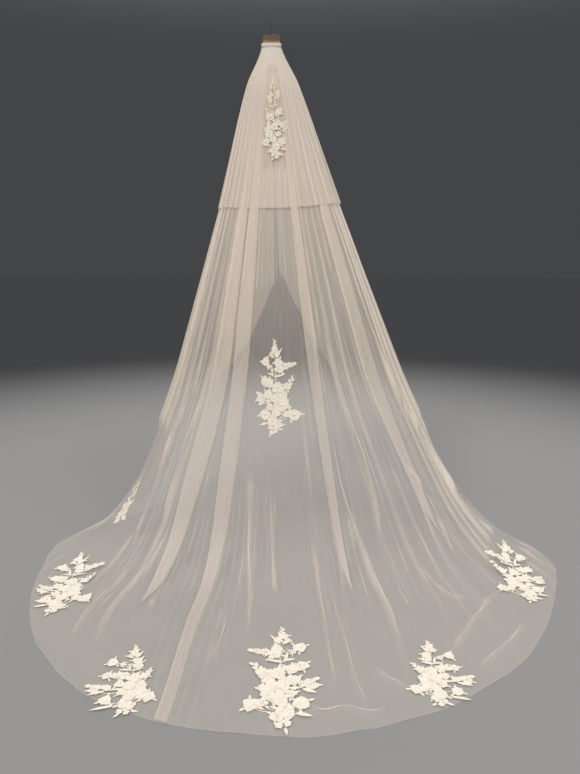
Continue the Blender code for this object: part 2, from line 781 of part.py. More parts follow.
def build_lace(collection, cloth, columns, skin):
    lace = material("lace", LACE_COLOUR, 0.7)
    for name, x, y, direction, length, left, right, gap in FLOOR_SPRAYS:
        place = floor_placer(cloth, x, y, direction)
        add_object(collection, name, spray_mesh(name, length, left, right, gap, place), lace)
    for name, turn, run, length, left, right, gap in HUNG_SPRAYS:
        place = skin_placer(columns, skin, turn, run)
        if run < BLUSHER_RUN:
            place = envelope_placer(turn, run)
        add_object(collection, name, spray_mesh(name, length, left, right, gap, place), lace)


def build_fittings(collection):
    satin = material("satin", (0.90, 0.84, 0.74, 1.0), 0.4)
    gold = material("gold_wire", (0.62, 0.42, 0.20, 1.0), 0.3, 1.0)
    black = material("black_wire", (0.015, 0.015, 0.015, 1.0), 0.4, 0.6)
    middle = BAND_TOP_Z - BAND_HEIGHT / 2.0
    band = add_object(collection, "binding_band", band_mesh("binding_band"), satin, (0.0, 0.0, middle))
    add_bevel(band, BAND_BEVEL)
    spine_z = BAND_TOP_Z + SEAM_GAP + SPINE_SIZE.z / 2.0
    spine = box_mesh("comb_spine", SPINE_SIZE)
    add_bevel(add_object(collection, "comb_spine", spine, gold, (0.0, 0.0, spine_z)), SPINE_BEVEL)
    add_wire(collection, "comb_teeth", teeth_points(), TOOTH_WIRE, gold)
    add_wire(collection, "hook", hook_points(), HOOK_WIRE, black)


def main():
    for old in list(bpy.data.objects):
        bpy.data.objects.remove(old, do_unlink=True)
    collection = bpy.data.collections.new("bridal_veil")
    bpy.context.scene.collection.children.link(collection)
    cloth, columns, skin = build_cloth(collection)
    build_lace(collection, cloth, columns, skin)
    build_fittings(collection)
    bpy.context.view_layer.update()


main()
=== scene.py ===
"""The looks of a two-tier bridal veil of sheer tulle with lace sprays, hung by its comb from a hook.

Metres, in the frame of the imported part: the origin is the top of the hook and the front looks
towards -Y. A turn is an angle round the veil in degrees, 0 at the front and positive to the right.
A run is a length of cloth measured down from the gathered edge.
"""

import math

import bmesh
import bpy
import numpy as np
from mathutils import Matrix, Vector
from mathutils.bvhtree import BVHTree


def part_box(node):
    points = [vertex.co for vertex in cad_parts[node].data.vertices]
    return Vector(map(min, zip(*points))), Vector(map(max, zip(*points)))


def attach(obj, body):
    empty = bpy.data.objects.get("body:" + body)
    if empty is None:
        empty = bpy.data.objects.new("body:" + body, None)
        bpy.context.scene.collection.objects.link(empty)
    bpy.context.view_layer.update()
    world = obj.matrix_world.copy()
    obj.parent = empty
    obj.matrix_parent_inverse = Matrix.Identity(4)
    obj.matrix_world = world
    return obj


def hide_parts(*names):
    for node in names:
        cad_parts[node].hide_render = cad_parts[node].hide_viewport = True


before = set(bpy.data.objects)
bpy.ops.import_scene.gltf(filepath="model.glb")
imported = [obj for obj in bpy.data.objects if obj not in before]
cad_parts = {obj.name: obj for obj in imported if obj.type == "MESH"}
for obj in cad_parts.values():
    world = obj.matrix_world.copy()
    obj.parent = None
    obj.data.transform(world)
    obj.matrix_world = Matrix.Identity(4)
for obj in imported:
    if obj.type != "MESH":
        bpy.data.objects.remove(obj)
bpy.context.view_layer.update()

# Camera, at the photo's place
CAMERA_AT = (0.09, -3.10, -1.134)
CAMERA_DOWN = 12.0
CAMERA_LENS = 581.0 / 774.0 * 36.0

# The cloth before it is pleated, as in the part
FLOOR_Z = -2.390
GATHER_Z = -0.1093
GATHER_HALF_WIDTH = 0.043
GATHER_HALF_DEPTH = 0.009
LAST_TURN = 179.7
FOOT_CENTRE = (0.04, -0.445)
FOOT_LEFT = 0.685
FOOT_RIGHT = 0.86
FOOT_HALF_DEPTH = 0.475
BACK_SQUARENESS = 0.35
BEND_FRONT = 0.24
BEND_LEFT = 0.36
BEND_RIGHT = 0.42
BEND_STEPS = 8
SHOULDER_LEFT = 0.023
SHOULDER_RIGHT = 0.017
SHOULDER_RUN = (0.02, 0.20, 0.85)
FLARE = 0.105
FLARE_TURN = (12.0, 30.0, 75.0, 135.0)
FLARE_FROM = 0.57
HEM_CENTRE = (0.09, -0.80)
HEM_LEFT = 1.005
HEM_RIGHT = 1.035
HEM_HALF_DEPTH = 0.955
HEM_ROUND_LEFT = 0.92
HEM_ROUND_RIGHT = 1.04
EDGE_FROM = 98.0
EDGE_TO = 112.0
SIDE_EDGES = (
    # turn, run on the left, run on the right
    (112.0, 2.32, 2.50),
    (118.0, 2.06, 2.33),
    (125.0, 1.88, 2.16),
    (134.0, 1.77, 2.00),
    (146.0, 1.67, 1.85),
    (158.0, 1.57, 1.68),
    (168.0, 1.44, 1.46),
    (175.0, 1.28, 1.24),
    (180.0, 1.12, 1.05),
)

# Pleats that lie folded over, as in the part
LAPS = (
    # turn, room, rise, lap, stays, opens
    (-30.8, 5.2, 0.015, -0.064, 0.0, 0.84),
    (-19.2, 5.2, 0.015, -0.058, 0.6, 2.0),
    (17.0, 3.2, 0.014, 0.036, 0.0, 0.80),
    (46.5, 4.6, 0.015, 0.050, 0.0, 0.76),
)
LAP_PROFILE = (
    # across in laps, across in rooms, rise in rises
    (-0.5, -0.16, 0.0),
    (-0.5, 0.0, 0.74),
    (0.5, 0.0, 1.0),
    (0.5, 0.0, 0.74),
    (-0.5, 0.0, 0.45),
    (-0.5, 0.0, 0.0),
    (0.5, 0.16, 0.0),
)
LAP_COLUMNS = 36
LAP_RISE_RUN = (0.15, 1.05)
LAP_FOLDS = 0.11
LAP_FOLDING = 0.08
LAP_OPENING = 0.055
LAP_TAPER = 0.26
FLOOR_FADE = 0.40
LAP_HEM_RISE = 0.6

# Long soft ridges between the laps
RIDGES = (
    # turn, half width in degrees, rise, share that reaches the hem
    (-84.0, 3.2, 0.014, 0.0),
    (-76.0, 3.0, 0.012, 0.0),
    (-68.5, 2.8, 0.015, 0.3),
    (-61.0, 2.6, 0.011, 0.0),
    (-54.0, 2.6, 0.014, 0.3),
    (-47.0, 2.4, 0.011, 0.0),
    (-39.5, 2.2, 0.013, 0.2),
    (-11.8, 1.3, 0.008, 0.0),
    (12.2, 1.3, 0.009, 0.0),
    (22.3, 1.6, 0.010, 0.3),
    (27.0, 1.9, 0.010, 0.0),
    (33.0, 2.3, 0.013, 0.3),
    (39.0, 2.2, 0.010, 0.0),
    (54.0, 2.2, 0.011, 0.2),
    (59.5, 1.8, 0.013, 0.0),
    (64.0, 1.8, 0.012, 0.0),
    (69.5, 2.6, 0.014, 0.0),
    (76.5, 2.8, 0.012, 0.0),
    (84.0, 3.0, 0.014, 0.0),
)
RIDGE_RUN = (0.15, 1.90)

# Sharp creases that the photo shows, each a chain of turns and runs
CREASES = (
    # rise, half width, then (turn, run) along the crease
    (0.014, 0.010, ((19.6, 1.15), (20.1, 1.74), (19.2, 2.08), (21.3, 2.38), (21.9, 2.63), (21.7, 3.10))),
    (0.010, 0.009, ((25.5, 1.30), (26.5, 1.75), (28.2, 1.97), (27.1, 2.18), (25.0, 2.40))),
    (0.008, 0.008, ((9.0, 1.25), (9.8, 1.73), (10.5, 1.90), (11.1, 2.12))),
    (0.009, 0.009, ((-10.3, 1.95), (-11.0, 2.15), (-9.9, 2.40), (-8.2, 2.59), (-7.3, 2.84))),
    (0.008, 0.008, ((-2.6, 2.12), (-2.0, 2.35), (-0.7, 2.59), (-0.8, 2.70))),
    (0.008, 0.008, ((10.9, 2.30), (10.4, 2.50), (10.1, 2.66), (9.2, 2.94), (9.4, 3.10))),
    (0.007, 0.008, ((13.0, 2.52), (13.2, 2.84), (12.9, 3.04), (13.9, 3.16))),
    (0.011, 0.010, ((-46.5, 1.35), (-48.7, 1.74), (-53.2, 1.93), (-54.3, 2.12), (-53.0, 2.29), (-47.6, 2.45))),
    (0.010, 0.010, ((-36.5, 1.30), (-38.7, 1.74), (-41.6, 1.92), (-40.4, 2.12), (-39.0, 2.30))),
    (0.010, 0.010, ((-35.8, 2.30), (-37.4, 2.45), (-38.7, 2.61), (-38.9, 2.98))),
    (0.008, 0.010, ((-44.5, 2.50), (-45.6, 2.72), (-46.8, 2.98))),
    (0.010, 0.009, ((-28.5, 2.60), (-27.7, 2.76), (-26.4, 2.87), (-27.3, 3.00))),
    (0.016, 0.011, ((57.5, 1.35), (60.1, 1.79), (67.3, 2.00), (69.0, 2.19), (73.0, 2.33), (80.0, 2.46))),
    (0.010, 0.009, ((44.5, 2.05), (49.8, 2.20), (50.0, 2.36), (46.0, 2.52))),
    (0.007, 0.012, ((-4.0, 3.12), (2.3, 3.11), (6.0, 3.16), (9.8, 3.14), (14.0, 3.18), (17.5, 3.16))),
    (0.006, 0.011, ((16.6, 2.98), (18.4, 3.05), (20.5, 3.09), (24.2, 3.13))),
    (0.009, 0.013, ((54.5, 2.74), (49.0, 2.75), (44.8, 2.78), (37.0, 2.87), (31.5, 2.97), (28.5, 3.00))),
    (0.008, 0.013, ((60.0, 2.90), (52.0, 2.96), (46.9, 3.01), (40.0, 3.05), (35.0, 3.09))),
    (0.006, 0.012, ((-58.0, 2.70), (-62.0, 2.78), (-68.0, 2.80))),
    (0.006, 0.012, ((-14.0, 2.62), (-13.0, 2.80), (-14.5, 2.98))),
    (0.006, 0.012, ((33.0, 2.50), (36.0, 2.66), (41.0, 2.74))),
)

# Fine folds
FINE_FOLDS = 120
FINE_SPREAD = 88.0
BACK_FOLDS = 44
GATHER_WAVES = 74
HEM_WAVES = 31

# How much of the light one layer of the net stops, face on
NET_COVER = 0.21
FOLD_DEPTH = 2.4
RAW_EDGE = 1.5
# The floor's painted pool of light: pale out to the first distance, falling to painted shade by the second
PAINTED_LIGHT_POOL_TO = 2.1
PAINTED_SHADE_FROM = 6.0
PINCHED_FOLDS = 96
PINCH_COVER = 0.62
BACK_FULLNESS = 0.55

# Short tier
BLUSHER_RUN = 0.84
BLUSHER_SIDE_RUN = 0.80
BLUSHER_LAST_TURN = 128.0
BLUSHER_CLEAR_TOP = 0.0036
BLUSHER_CLEAR_HEM = 0.0095

# Lace sprays, as in the part
LEAVES = (
    # along the stem, reach, lift, breadth, all as shares of the spray's length
    (0.050, 0.125, -0.012, 0.046),
    (0.165, 0.205, 0.020, 0.050),
    (0.285, 0.165, 0.055, 0.050),
    (0.405, 0.245, 0.085, 0.052),
    (0.525, 0.145, 0.070, 0.046),
    (0.635, 0.185, 0.075, 0.044),
    (0.745, 0.105, 0.060, 0.036),
    (0.840, 0.070, 0.050, 0.030),
)
FLOOR_SPRAYS = (
    # name, x and y of the foot, direction of the tip, length, left and right reach
    ("lace_hem_centre", 0.062, -1.735, 0.0, 0.465, 1.00, 1.02),
    ("lace_hem_left", -0.375, -1.680, 9.0, 0.310, 1.75, 0.95),
    ("lace_hem_right", 0.524, -1.645, -6.0, 0.300, 1.05, 1.65),
    ("lace_side_left", -0.775, -1.190, 6.0, 0.440, 1.00, 1.10),
    ("lace_side_right", 1.005, -1.120, -5.0, 0.430, 1.00, 0.90),
)
HUNG_SPRAYS = (
    # name, turn and run of the foot, length, left and right reach
    ("lace_middle", -0.2, 1.880, 0.430, 0.90, 0.92),
    ("lace_top", 1.0, 0.600, 0.460, 0.55, 0.75),
    ("lace_back_left", -71.0, 2.360, 0.240, 0.80, 0.80),
    ("lace_back_right", 94.0, 2.420, 0.290, 0.62, 0.60),
)
SMOOTH_REACH = 0.24
SMOOTH_BACK = 0.12
SMOOTH_EDGE = 0.05
SMOOTH_PAST_ENDS = 0.13


def smooth(value, low, high):
    """A soft step from 0 at low to 1 at high."""
    t = np.clip((value - low) / (high - low), 0.0, 1.0)
    return t * t * (3.0 - 2.0 * t)


def power(value, exponent):
    return np.sign(value) * np.abs(value) ** exponent


def length(vectors):
    return np.sqrt((vectors * vectors).sum(-1))


def unit(vectors):
    return vectors / np.maximum(length(vectors), 1e-12)[..., None]


def chance(i, k):
    """The same number from 0 to 1 each time for a pair of whole numbers."""
    value = math.sin(i * 12.9898 + k * 78.233 + 1.7) * 43758.5453
    return value - math.floor(value)


# The cloth before it is pleated

def oval(turn, centre, left, right, half_depth, exponent, z):
    angle = np.radians(turn)
    half_width = np.where(turn > 0.0, right, left)
    x = centre[0] + half_width * power(np.sin(angle), exponent)
    y = centre[1] - half_depth * power(np.cos(angle), exponent)
    return np.stack([x, y, np.full_like(x, z)], -1)


def quadratic(a, b, c, t):
    return a * (1.0 - t) ** 2 + b * 2.0 * t * (1.0 - t) + c * t * t


def spoke(turn):
    """The line of the cloth at each turn: its corners and the runs where it bends and lies flat."""
    turn = np.asarray(turn, float)
    width, depth = GATHER_HALF_WIDTH, GATHER_HALF_DEPTH
    start = oval(turn, (0.0, 0.0), width, width, depth, 1.0, GATHER_Z)
    square = 1.0 - BACK_SQUARENESS * smooth(np.abs(turn), 90.0, 145.0)
    corner = oval(turn, FOOT_CENTRE, FOOT_LEFT, FOOT_RIGHT, FOOT_HALF_DEPTH, square, FLOOR_Z)
    rounded = np.where(turn > 0.0, HEM_ROUND_RIGHT, HEM_ROUND_LEFT)
    end = oval(turn, HEM_CENTRE, HEM_LEFT, HEM_RIGHT, HEM_HALF_DEPTH, rounded, FLOOR_Z)
    side = np.where(turn > 0.0, BEND_RIGHT, BEND_LEFT)
    bend = BEND_FRONT + (side - BEND_FRONT) * smooth(np.abs(turn), 25.0, 90.0)
    bend = np.minimum(bend, 0.96 * length(end - corner))
    above = corner + unit(start - corner) * bend[..., None]
    beyond = corner + unit(end - corner) * bend[..., None]
    bends_at = length(corner - start) - bend
    steps = [quadratic(above, corner, beyond, i / BEND_STEPS) for i in range(BEND_STEPS + 1)]
    flat_at = bends_at + sum(length(b - a) for a, b in zip(steps, steps[1:]))
    return start, above, corner, beyond, end, bends_at, flat_at


def base_point(turn, run):
    """Points of the cloth without its pleats: straight, then bent, then flat on the floor."""
    turn, run = np.broadcast_arrays(np.asarray(turn, float), np.asarray(run, float))
    start, above, corner, beyond, end, bends_at, flat_at = spoke(turn)
    hangs = start + (above - start) * (run / bends_at)[..., None]
    t = np.clip((run - bends_at) / (flat_at - bends_at), 0.0, 1.0)[..., None]
    bends = quadratic(above, corner, beyond, t)
    lies = beyond + unit(end - beyond) * (run - flat_at)[..., None]
    lies[..., 2] = FLOOR_Z
    hanging, bending = (run <= bends_at)[..., None], (run < flat_at)[..., None]
    point = np.where(hanging, hangs, np.where(bending, bends, lies))
    out, middle, gone = SHOULDER_RUN
    swell = np.where(turn > 0.0, SHOULDER_RIGHT, SHOULDER_LEFT)
    swell = swell * smooth(np.abs(np.sin(np.radians(turn))), 0.0, 1.0)
    swell = swell * smooth(run, out, middle) * (1.0 - smooth(run, middle, gone))
    first, full, last, none = FLARE_TURN
    flare = FLARE * smooth(np.abs(turn), first, full) * (1.0 - smooth(np.abs(turn), last, none))
    hem = flat_at + length(end - beyond)
    flare = flare * smooth(run, FLARE_FROM * flat_at, 0.97 * flat_at)
    flare = flare * (1.0 - smooth(run, flat_at, hem + 0.1))
    point[..., 0] += np.sign(turn) * (swell + flare)
    return point


def base_normal(turn, run):
    across = base_point(turn + 0.2, run) - base_point(turn - 0.2, run)
    down = base_point(turn, run + 0.002) - base_point(turn, np.maximum(0.0, run - 0.002))
    normal = unit(np.cross(down, across))
    lies = (run >= floor_run(turn))[..., None]
    return np.where(lies, np.array((0.0, 0.0, 1.0)), normal)


def floor_run(turn):
    return spoke(turn)[6]


def read_table(table, key, column):
    out = np.full(key.shape, float(table[-1][column]))
    found = np.zeros(key.shape, bool)
    for low, high in zip(table, table[1:]):
        here = (key <= high[0]) & ~found
        t = smooth(key, low[0], high[0]) * 0.4 + 0.6 * (key - low[0]) / (high[0] - low[0])
        out = np.where(here, low[column] + (high[column] - low[column]) * np.maximum(0.0, t), out)
        found |= here
    return out


def hem_run(turn):
    turn = np.asarray(turn, float)
    beyond, end, _, flat_at = spoke(turn)[3:]
    run = flat_at + length(end - beyond)
    left, right = (read_table(SIDE_EDGES, np.abs(turn), column) for column in (1, 2))
    edge = np.where(turn < 0.0, left, right)
    return run + (edge - run) * smooth(np.abs(turn), EDGE_FROM, EDGE_TO)


def metres_a_degree(turn, run):
    return length(base_point(turn + 0.5, run) - base_point(turn - 0.5, run))


# The lace holds the cloth smooth

def spray_axes():
    """The foot, the tip and the side reach of each spray that lies on the long tier's outside."""
    axes = []
    for _, x, y, direction, size, left, right in FLOOR_SPRAYS:
        angle = math.radians(direction)
        foot = np.array((x, y, FLOOR_Z))
        tip = foot + np.array((-math.sin(angle), math.cos(angle), 0.0)) * size
        axes.append((foot, tip, 0.5 * SMOOTH_REACH * size * max(left, right)))
    for name, turn, run, size, left, right in HUNG_SPRAYS:
        if name != "lace_top":
            reach = SMOOTH_BACK if abs(turn) > 60.0 else SMOOTH_REACH * size * max(left, right)
            axes.append((base_point(turn, run), base_point(turn, run - size), reach))
    return axes


def clear_of_lace(points):
    clear = np.ones(points.shape[:-1])
    for foot, tip, reach in spray_axes():
        axis = tip - foot
        spare = SMOOTH_PAST_ENDS / math.sqrt(axis @ axis)
        along = np.clip((points - foot) @ axis / (axis @ axis), -spare, 1.0 + spare)
        away = length(points - (foot + along[..., None] * axis))
        clear = np.minimum(clear, smooth(away, reach, reach + SMOOTH_EDGE))
    return clear


# The long tier

def long_columns():
    """Turn, lap and place in the lap of each column."""
    columns = []
    for k, lap in enumerate(LAPS):
        for i in range(LAP_COLUMNS + 1):
            place = 6.0 * i / LAP_COLUMNS
            columns.append((lap[0] + lap[1] * (place / 3.0 - 1.0), k, place if lap[3] > 0.0 else 6.0 - place))
    columns.sort()
    filled = [(-LAST_TURN, -1, 0.0)]
    for column in columns + [(LAST_TURN, -1, 0.0)]:
        while column[0] - filled[-1][0] > 1e-6:
            last = filled[-1][0]
            step = 0.36 if abs(last) < 92.0 else 0.36 + 0.9 * min(1.0, (abs(last) - 92.0) / 14.0)
            space = column[0] - last
            if column[1] >= 0 and filled[-1][1] == column[1]:
                break
            if space <= step * 1.5:
                break
            filled.append((last + step, -1, 0.0))
        filled.append(column)
    return filled


def long_rows():
    """Shares of the run: wide apart where the folds are straight, close where the cloth lies."""
    shares = [0.0]
    while shares[-1] < 1.0:
        last = shares[-1]
        step = 0.005 + 0.0085 * float(smooth(last, 0.0, 0.08)) - 0.0082 * float(smooth(last, 0.50, 0.64))
        shares.append(last + step)
    shares[-1] = 1.0
    return np.array(shares)


def profile_at(place):
    """The folded pleat's profile, rounded at its corners."""
    points = np.array(LAP_PROFILE)
    last = len(points) - 1
    i = np.clip(np.floor(place).astype(int), 0, last - 1)
    t = (place - i)[..., None]
    a, b, c, d = (points[np.clip(i + k, 0, last)] for k in (-1, 0, 1, 2))
    curve = 0.5 * (2.0 * b + (c - a) * t + (2.0 * a - 5.0 * b + 4.0 * c - d) * t * t + (3.0 * b - a - 3.0 * c + d) * t ** 3)
    straight = b + (c - b) * t
    return straight + (curve - straight) * 0.75


def fold_share(share, opens, width, room):
    """How far a pleat is folded over. Its middle layer stands on edge halfway through."""
    turned = smooth(share, LAP_FOLDS - LAP_FOLDING, LAP_FOLDS + LAP_FOLDING)
    turned = turned * (1.0 - smooth(share, opens - LAP_OPENING, opens + LAP_OPENING))
    on_edge = room / (3.0 * width + room)
    half = on_edge * 2.0 * turned
    rest = on_edge + (1.0 - on_edge) * (2.0 * turned - 1.0)
    return np.where(turned < 0.5, half, rest)


def fold_over(turn, share, place, lap):
    """Turns and lifts of the columns of one lap."""
    middle, room, rise, wide, stays, opens = lap
    run = hem_run(turn) * share
    degree = metres_a_degree(np.full_like(run, middle), run)
    landed = float(floor_run(middle) / hem_run(middle))
    taper = min(opens, landed)
    end = 1.0 - (1.0 - max(stays, 0.5)) * smooth(share, taper - LAP_TAPER, taper)
    width = abs(wide) * end * (1.0 + 0.10 * np.sin(11.0 * share + middle))
    width = np.minimum(width, 1.55 * room * degree)
    shape = profile_at(place)
    across = math.copysign(1.0, wide) * (shape[..., 0] * width + shape[..., 1] * room * degree)
    turned = turn + (middle + across / degree - turn) * fold_share(share, opens, width, room * degree)
    landing = float(floor_run(middle))
    on_floor = smooth(run, landing, landing + FLOOR_FADE)
    kept = (1.0 - on_floor) + on_floor * (LAP_HEM_RISE if stays else 0.0)
    return turned, rise * shape[..., 2] * smooth(run, *LAP_RISE_RUN) * kept


def long_folds(turn, run):
    """The lift of ridges, gathers and fine folds at turns and runs."""
    lift = np.zeros(turn.shape)
    lands = floor_run(turn[:1])
    hem = hem_run(turn[:1])
    degree = metres_a_degree(turn, run)
    edge = 1.0 - 0.65 * smooth(run, hem - 0.25, hem)
    for middle, half, rise, stays in RIDGES:
        fade = 1.0 - (1.0 - stays) * smooth(run, lands - 0.15, lands + FLOOR_FADE)
        off = (turn - middle) / half
        lift += rise * np.exp(-5.0 * off * off) * fade * smooth(run, *RIDGE_RUN) * np.maximum(edge, stays)
    for i in range(7):
        for side in (-1.0, 1.0):
            middle = side * (93.0 + 11.5 * i + 1.4 * math.sin(2.3 * i + side))
            rise = 0.013 * (1.0 + 0.25 * math.sin(1.7 * i + side))
            off = (turn - middle) / 3.6
            fade = 1.0 - smooth(run, lands - 0.15, lands + FLOOR_FADE)
            lift += rise * np.exp(-4.0 * off * off) * fade * smooth(run, *RIDGE_RUN) * edge
    for i in range(FINE_FOLDS + BACK_FOLDS):
        a, b, c, d, e = (chance(i, k) for k in range(5))
        if i < FINE_FOLDS:
            middle = FINE_SPREAD * (2.0 * (i + 0.5 + 0.8 * (a - 0.5)) / FINE_FOLDS - 1.0)
        else:
            j = (i - FINE_FOLDS) % (BACK_FOLDS // 2)
            middle = 90.0 + 88.0 * (j + 0.5 + 0.8 * (a - 0.5)) / (BACK_FOLDS // 2)
            middle = middle if i < FINE_FOLDS + BACK_FOLDS // 2 else -middle
        first, last = 0.25 + 1.15 * b, 1.75 + 1.05 * c
        wide = 0.0055 + 0.0060 * e
        drift = middle + 2.2 * (d - 0.5) * smooth(run, 0.8, 2.6)
        off = (turn - drift) * degree / wide
        shown = smooth(run, first, first + 0.5) * (1.0 - smooth(run, last, last + 0.35))
        rise = (0.0018 + 0.0060 * chance(i, 7) ** 2) * (1.0 if chance(i, 8) > 0.25 else -0.8)
        lift += rise * np.exp(-off * off) * shown
    swirl = turn + 3.0 * np.sin(np.radians(turn * 3.0 + 40.0)) + 1.3 * np.sin(np.radians(turn * 7.0))
    gathers = np.sin(np.radians(swirl * GATHER_WAVES)) + 0.5 * np.sin(np.radians(swirl * 1.37 * GATHER_WAVES + 60.0))
    lift += 0.0016 * gathers * smooth(run, 0.0, 0.10) * (1.0 - smooth(run, 0.55, 1.35))
    waves = np.sin(np.radians(swirl * HEM_WAVES)) + 0.6 * np.sin(np.radians(swirl * 1.61 * HEM_WAVES + 30.0))
    lift += 0.0016 * (waves + 1.2) * smooth(run, hem - 0.07, hem)
    return lift


def crease_lift(points):
    """The lift of the sharp creases and their pinched layers, from the distance to each."""
    lift, pinch = np.zeros(points.shape[:-1]), np.zeros(points.shape[:-1])
    for rise, half, chain in CREASES:
        turns, runs = (np.array([knot[k] for knot in chain]) for k in (0, 1))
        t = np.linspace(0.0, len(chain) - 1.0, 8 * (len(chain) - 1) + 1)
        turns, runs = np.interp(t, range(len(chain)), turns), np.interp(t, range(len(chain)), runs)
        kernel = np.ones(5) / 5.0
        turns[2:-2], runs[2:-2] = np.convolve(turns, kernel, "valid"), np.convolve(runs, kernel, "valid")
        line = base_point(turns, runs)
        low, high = line.min(0) - 4.0 * half, line.max(0) + 4.0 * half
        near = ((points > low) & (points < high)).all(-1)
        spots = points[near]
        if not len(spots):
            continue
        best, at = np.full(len(spots), 9.0), np.zeros(len(spots))
        for i, (a, b) in enumerate(zip(line, line[1:])):
            axis = b - a
            along = np.clip((spots - a) @ axis / max(axis @ axis, 1e-9), 0.0, 1.0)
            away = length(spots - (a + along[:, None] * axis))
            at = np.where(away < best, (i + along) / (len(line) - 1), at)
            best = np.minimum(best, away)
        ends = smooth(at, 0.0, 0.18) * (1.0 - smooth(at, 0.82, 1.0))
        lift[near] += rise * np.exp(-(best / half) ** 2) * ends
        pinch[near] += 60.0 * rise * np.exp(-(best / (0.8 * half)) ** 2) * ends
    return lift, pinch


def pinched_lines():
    """Turns and runs along each narrow fold that stands up, with its height."""
    lines = []
    for rise, _, chain in CREASES:
        turns, runs = (np.array([knot[k] for knot in chain]) for k in (0, 1))
        t = np.linspace(0.0, len(chain) - 1.0, 12 * (len(chain) - 1) + 1)
        turns, runs = np.interp(t, range(len(chain)), turns), np.interp(t, range(len(chain)), runs)
        kernel = np.ones(9) / 9.0
        turns[4:-4], runs[4:-4] = np.convolve(turns, kernel, "valid"), np.convolve(runs, kernel, "valid")
        lines.append((turns, runs, 0.0022 + 0.16 * rise))
    for i in range(PINCHED_FOLDS):
        a, b, c, d, e = (chance(i, 30 + k) for k in range(5))
        middle = 82.0 * (2.0 * (i + 0.5 + 0.9 * (a - 0.5)) / PINCHED_FOLDS - 1.0)
        first = 0.62 + 1.45 * b * b + 0.25 * (i % 3)
        last = min(first + 0.40 + 0.85 * c, float(hem_run(middle)) - 0.22)
        runs = np.linspace(first, last, 30)
        turns = middle + 2.6 * (d - 0.5) * smooth(runs, first, last) + 0.5 * np.sin(4.0 * runs + 6.0 * e)
        if last > first + 0.2 and all(abs(middle - lap[0]) > 0.9 * lap[1] for lap in LAPS):
            lines.append((turns, runs, 0.0015 + 0.0020 * e))
    return lines


def pinched_strips():
    """Points, faces, covers and cloth places of the narrow folds."""
    points, faces, covers, places = [], [], [], []
    for turns, runs, rise in pinched_lines():
        base, normal = base_point(turns, runs), base_normal(turns, runs)
        creases, _ = crease_lift(base)
        lift = long_folds(turns[None], runs[None])[0]
        lift = (lift + creases) * clear_of_lace(base) + 0.0012
        side = unit(np.cross(normal, np.gradient(base, axis=0)))
        t = np.linspace(0.0, 1.0, len(turns))
        grown = np.sin(math.pi * t) ** 0.45 * (0.80 + 0.20 * np.sin(17.0 * t + 40.0 * rise)) * clear_of_lace(base)
        for k in range(len(turns)):
            half, high = 0.72 * rise * grown[k] + 0.0002, rise * grown[k]
            for w in (-1.0, 0.0, 1.0):
                points.append(base[k] + normal[k] * (lift[k] + high * (1.0 - abs(w))) + side[k] * half * w)
                covers.append(PINCH_COVER * (0.35 + 0.65 * (w == 0.0)) * grown[k])
                places.append((turns[k] * 0.0085 + half * w, runs[k]))
        first = len(points) - 3 * len(turns)
        for k in range(len(turns) - 1):
            for w in range(2):
                a = first + 3 * k + w
                faces.append((a, a + 3, a + 4, a + 1))
    points = np.array(points)
    points[:, 2] = np.maximum(points[:, 2], FLOOR_Z + 0.0006)
    return points, faces, np.array(covers), np.array(places)


def fullness(run):
    """How many layers deep the gathered cloth is for one that is spread."""
    return 1.0 + 1.7 * (1.0 - smooth(run, 0.35, 1.75)) + 3.2 * (1.0 - smooth(run, 0.0, 0.32))


def long_tier():
    columns = long_columns()
    turns = np.array([column[0] for column in columns])
    shares = long_rows()
    turn = np.broadcast_to(turns, (len(shares), len(turns))).copy()
    share = np.broadcast_to(shares[:, None], turn.shape)
    lift = np.zeros(turn.shape)
    folds = long_folds(turn, hem_run(turn) * share)
    for k, lap in enumerate(LAPS):
        here = [j for j, column in enumerate(columns) if column[1] == k]
        place = np.array([columns[j][2] for j in here])
        place = np.broadcast_to(place, (len(shares), len(here)))
        turned, raised = fold_over(turn[:, here], share[:, here], place, lap)
        turn[:, here] = turned
        lift[:, here] = raised
        folds[:, here] *= 0.6
    run = hem_run(turn) * share
    wobble = np.sin(np.radians(turn * 9.0 + 20.0)) + 0.7 * np.sin(np.radians(turn * 17.0)) + 0.5 * np.sin(np.radians(turn * 31.0))
    run = run + 0.0028 * wobble * smooth(share, 0.93, 1.0)
    base = base_point(turn, run)
    creases, pinch = crease_lift(base)
    smooth_cloth = clear_of_lace(base)
    folds = (folds + creases) * smooth_cloth
    normal = base_normal(turn, run)
    points = base + normal * (0.0006 + lift + folds)[..., None]
    points[..., 2] = np.maximum(points[..., 2], FLOOR_Z + 0.0006)
    return turns, run, points, normal, pinch * smooth_cloth


# Thin shells

def shell(name, points, cloth_uv, cover, strips=None):
    """A one-layer sheet from a grid, with its cloth coordinates and how much light it stops."""
    rows, cols = points.shape[:2]
    index = np.arange(rows * cols).reshape(rows, cols)
    quads = np.stack([index[:-1, :-1], index[1:, :-1], index[1:, 1:], index[:-1, 1:]], -1).reshape(-1, 4)
    points, places, cover = points.reshape(-1, 3), cloth_uv.reshape(-1, 2), cover.reshape(-1)
    if strips:
        quads = np.concatenate([quads, np.array(strips[1]) + len(points)])
        points = np.concatenate([points, strips[0]])
        cover = np.concatenate([cover, strips[2]])
        places = np.concatenate([places, strips[3]])
    mesh = bpy.data.meshes.new(name)
    mesh.from_pydata(points.tolist(), [], quads.tolist())
    layer = mesh.uv_layers.new(name="cloth")
    layer.data.foreach_set("uv", places[quads.reshape(-1)].astype(np.float32).reshape(-1))
    attribute = mesh.attributes.new("cover", "FLOAT", "POINT")
    attribute.data.foreach_set("value", cover.astype(np.float32))
    mesh.shade_smooth()
    made = bpy.data.objects.new(name, mesh)
    bpy.context.scene.collection.objects.link(made)
    return made


def grid_normals(points):
    down, across = np.gradient(points, axis=0), np.gradient(points, axis=1)
    return unit(np.cross(down, across))


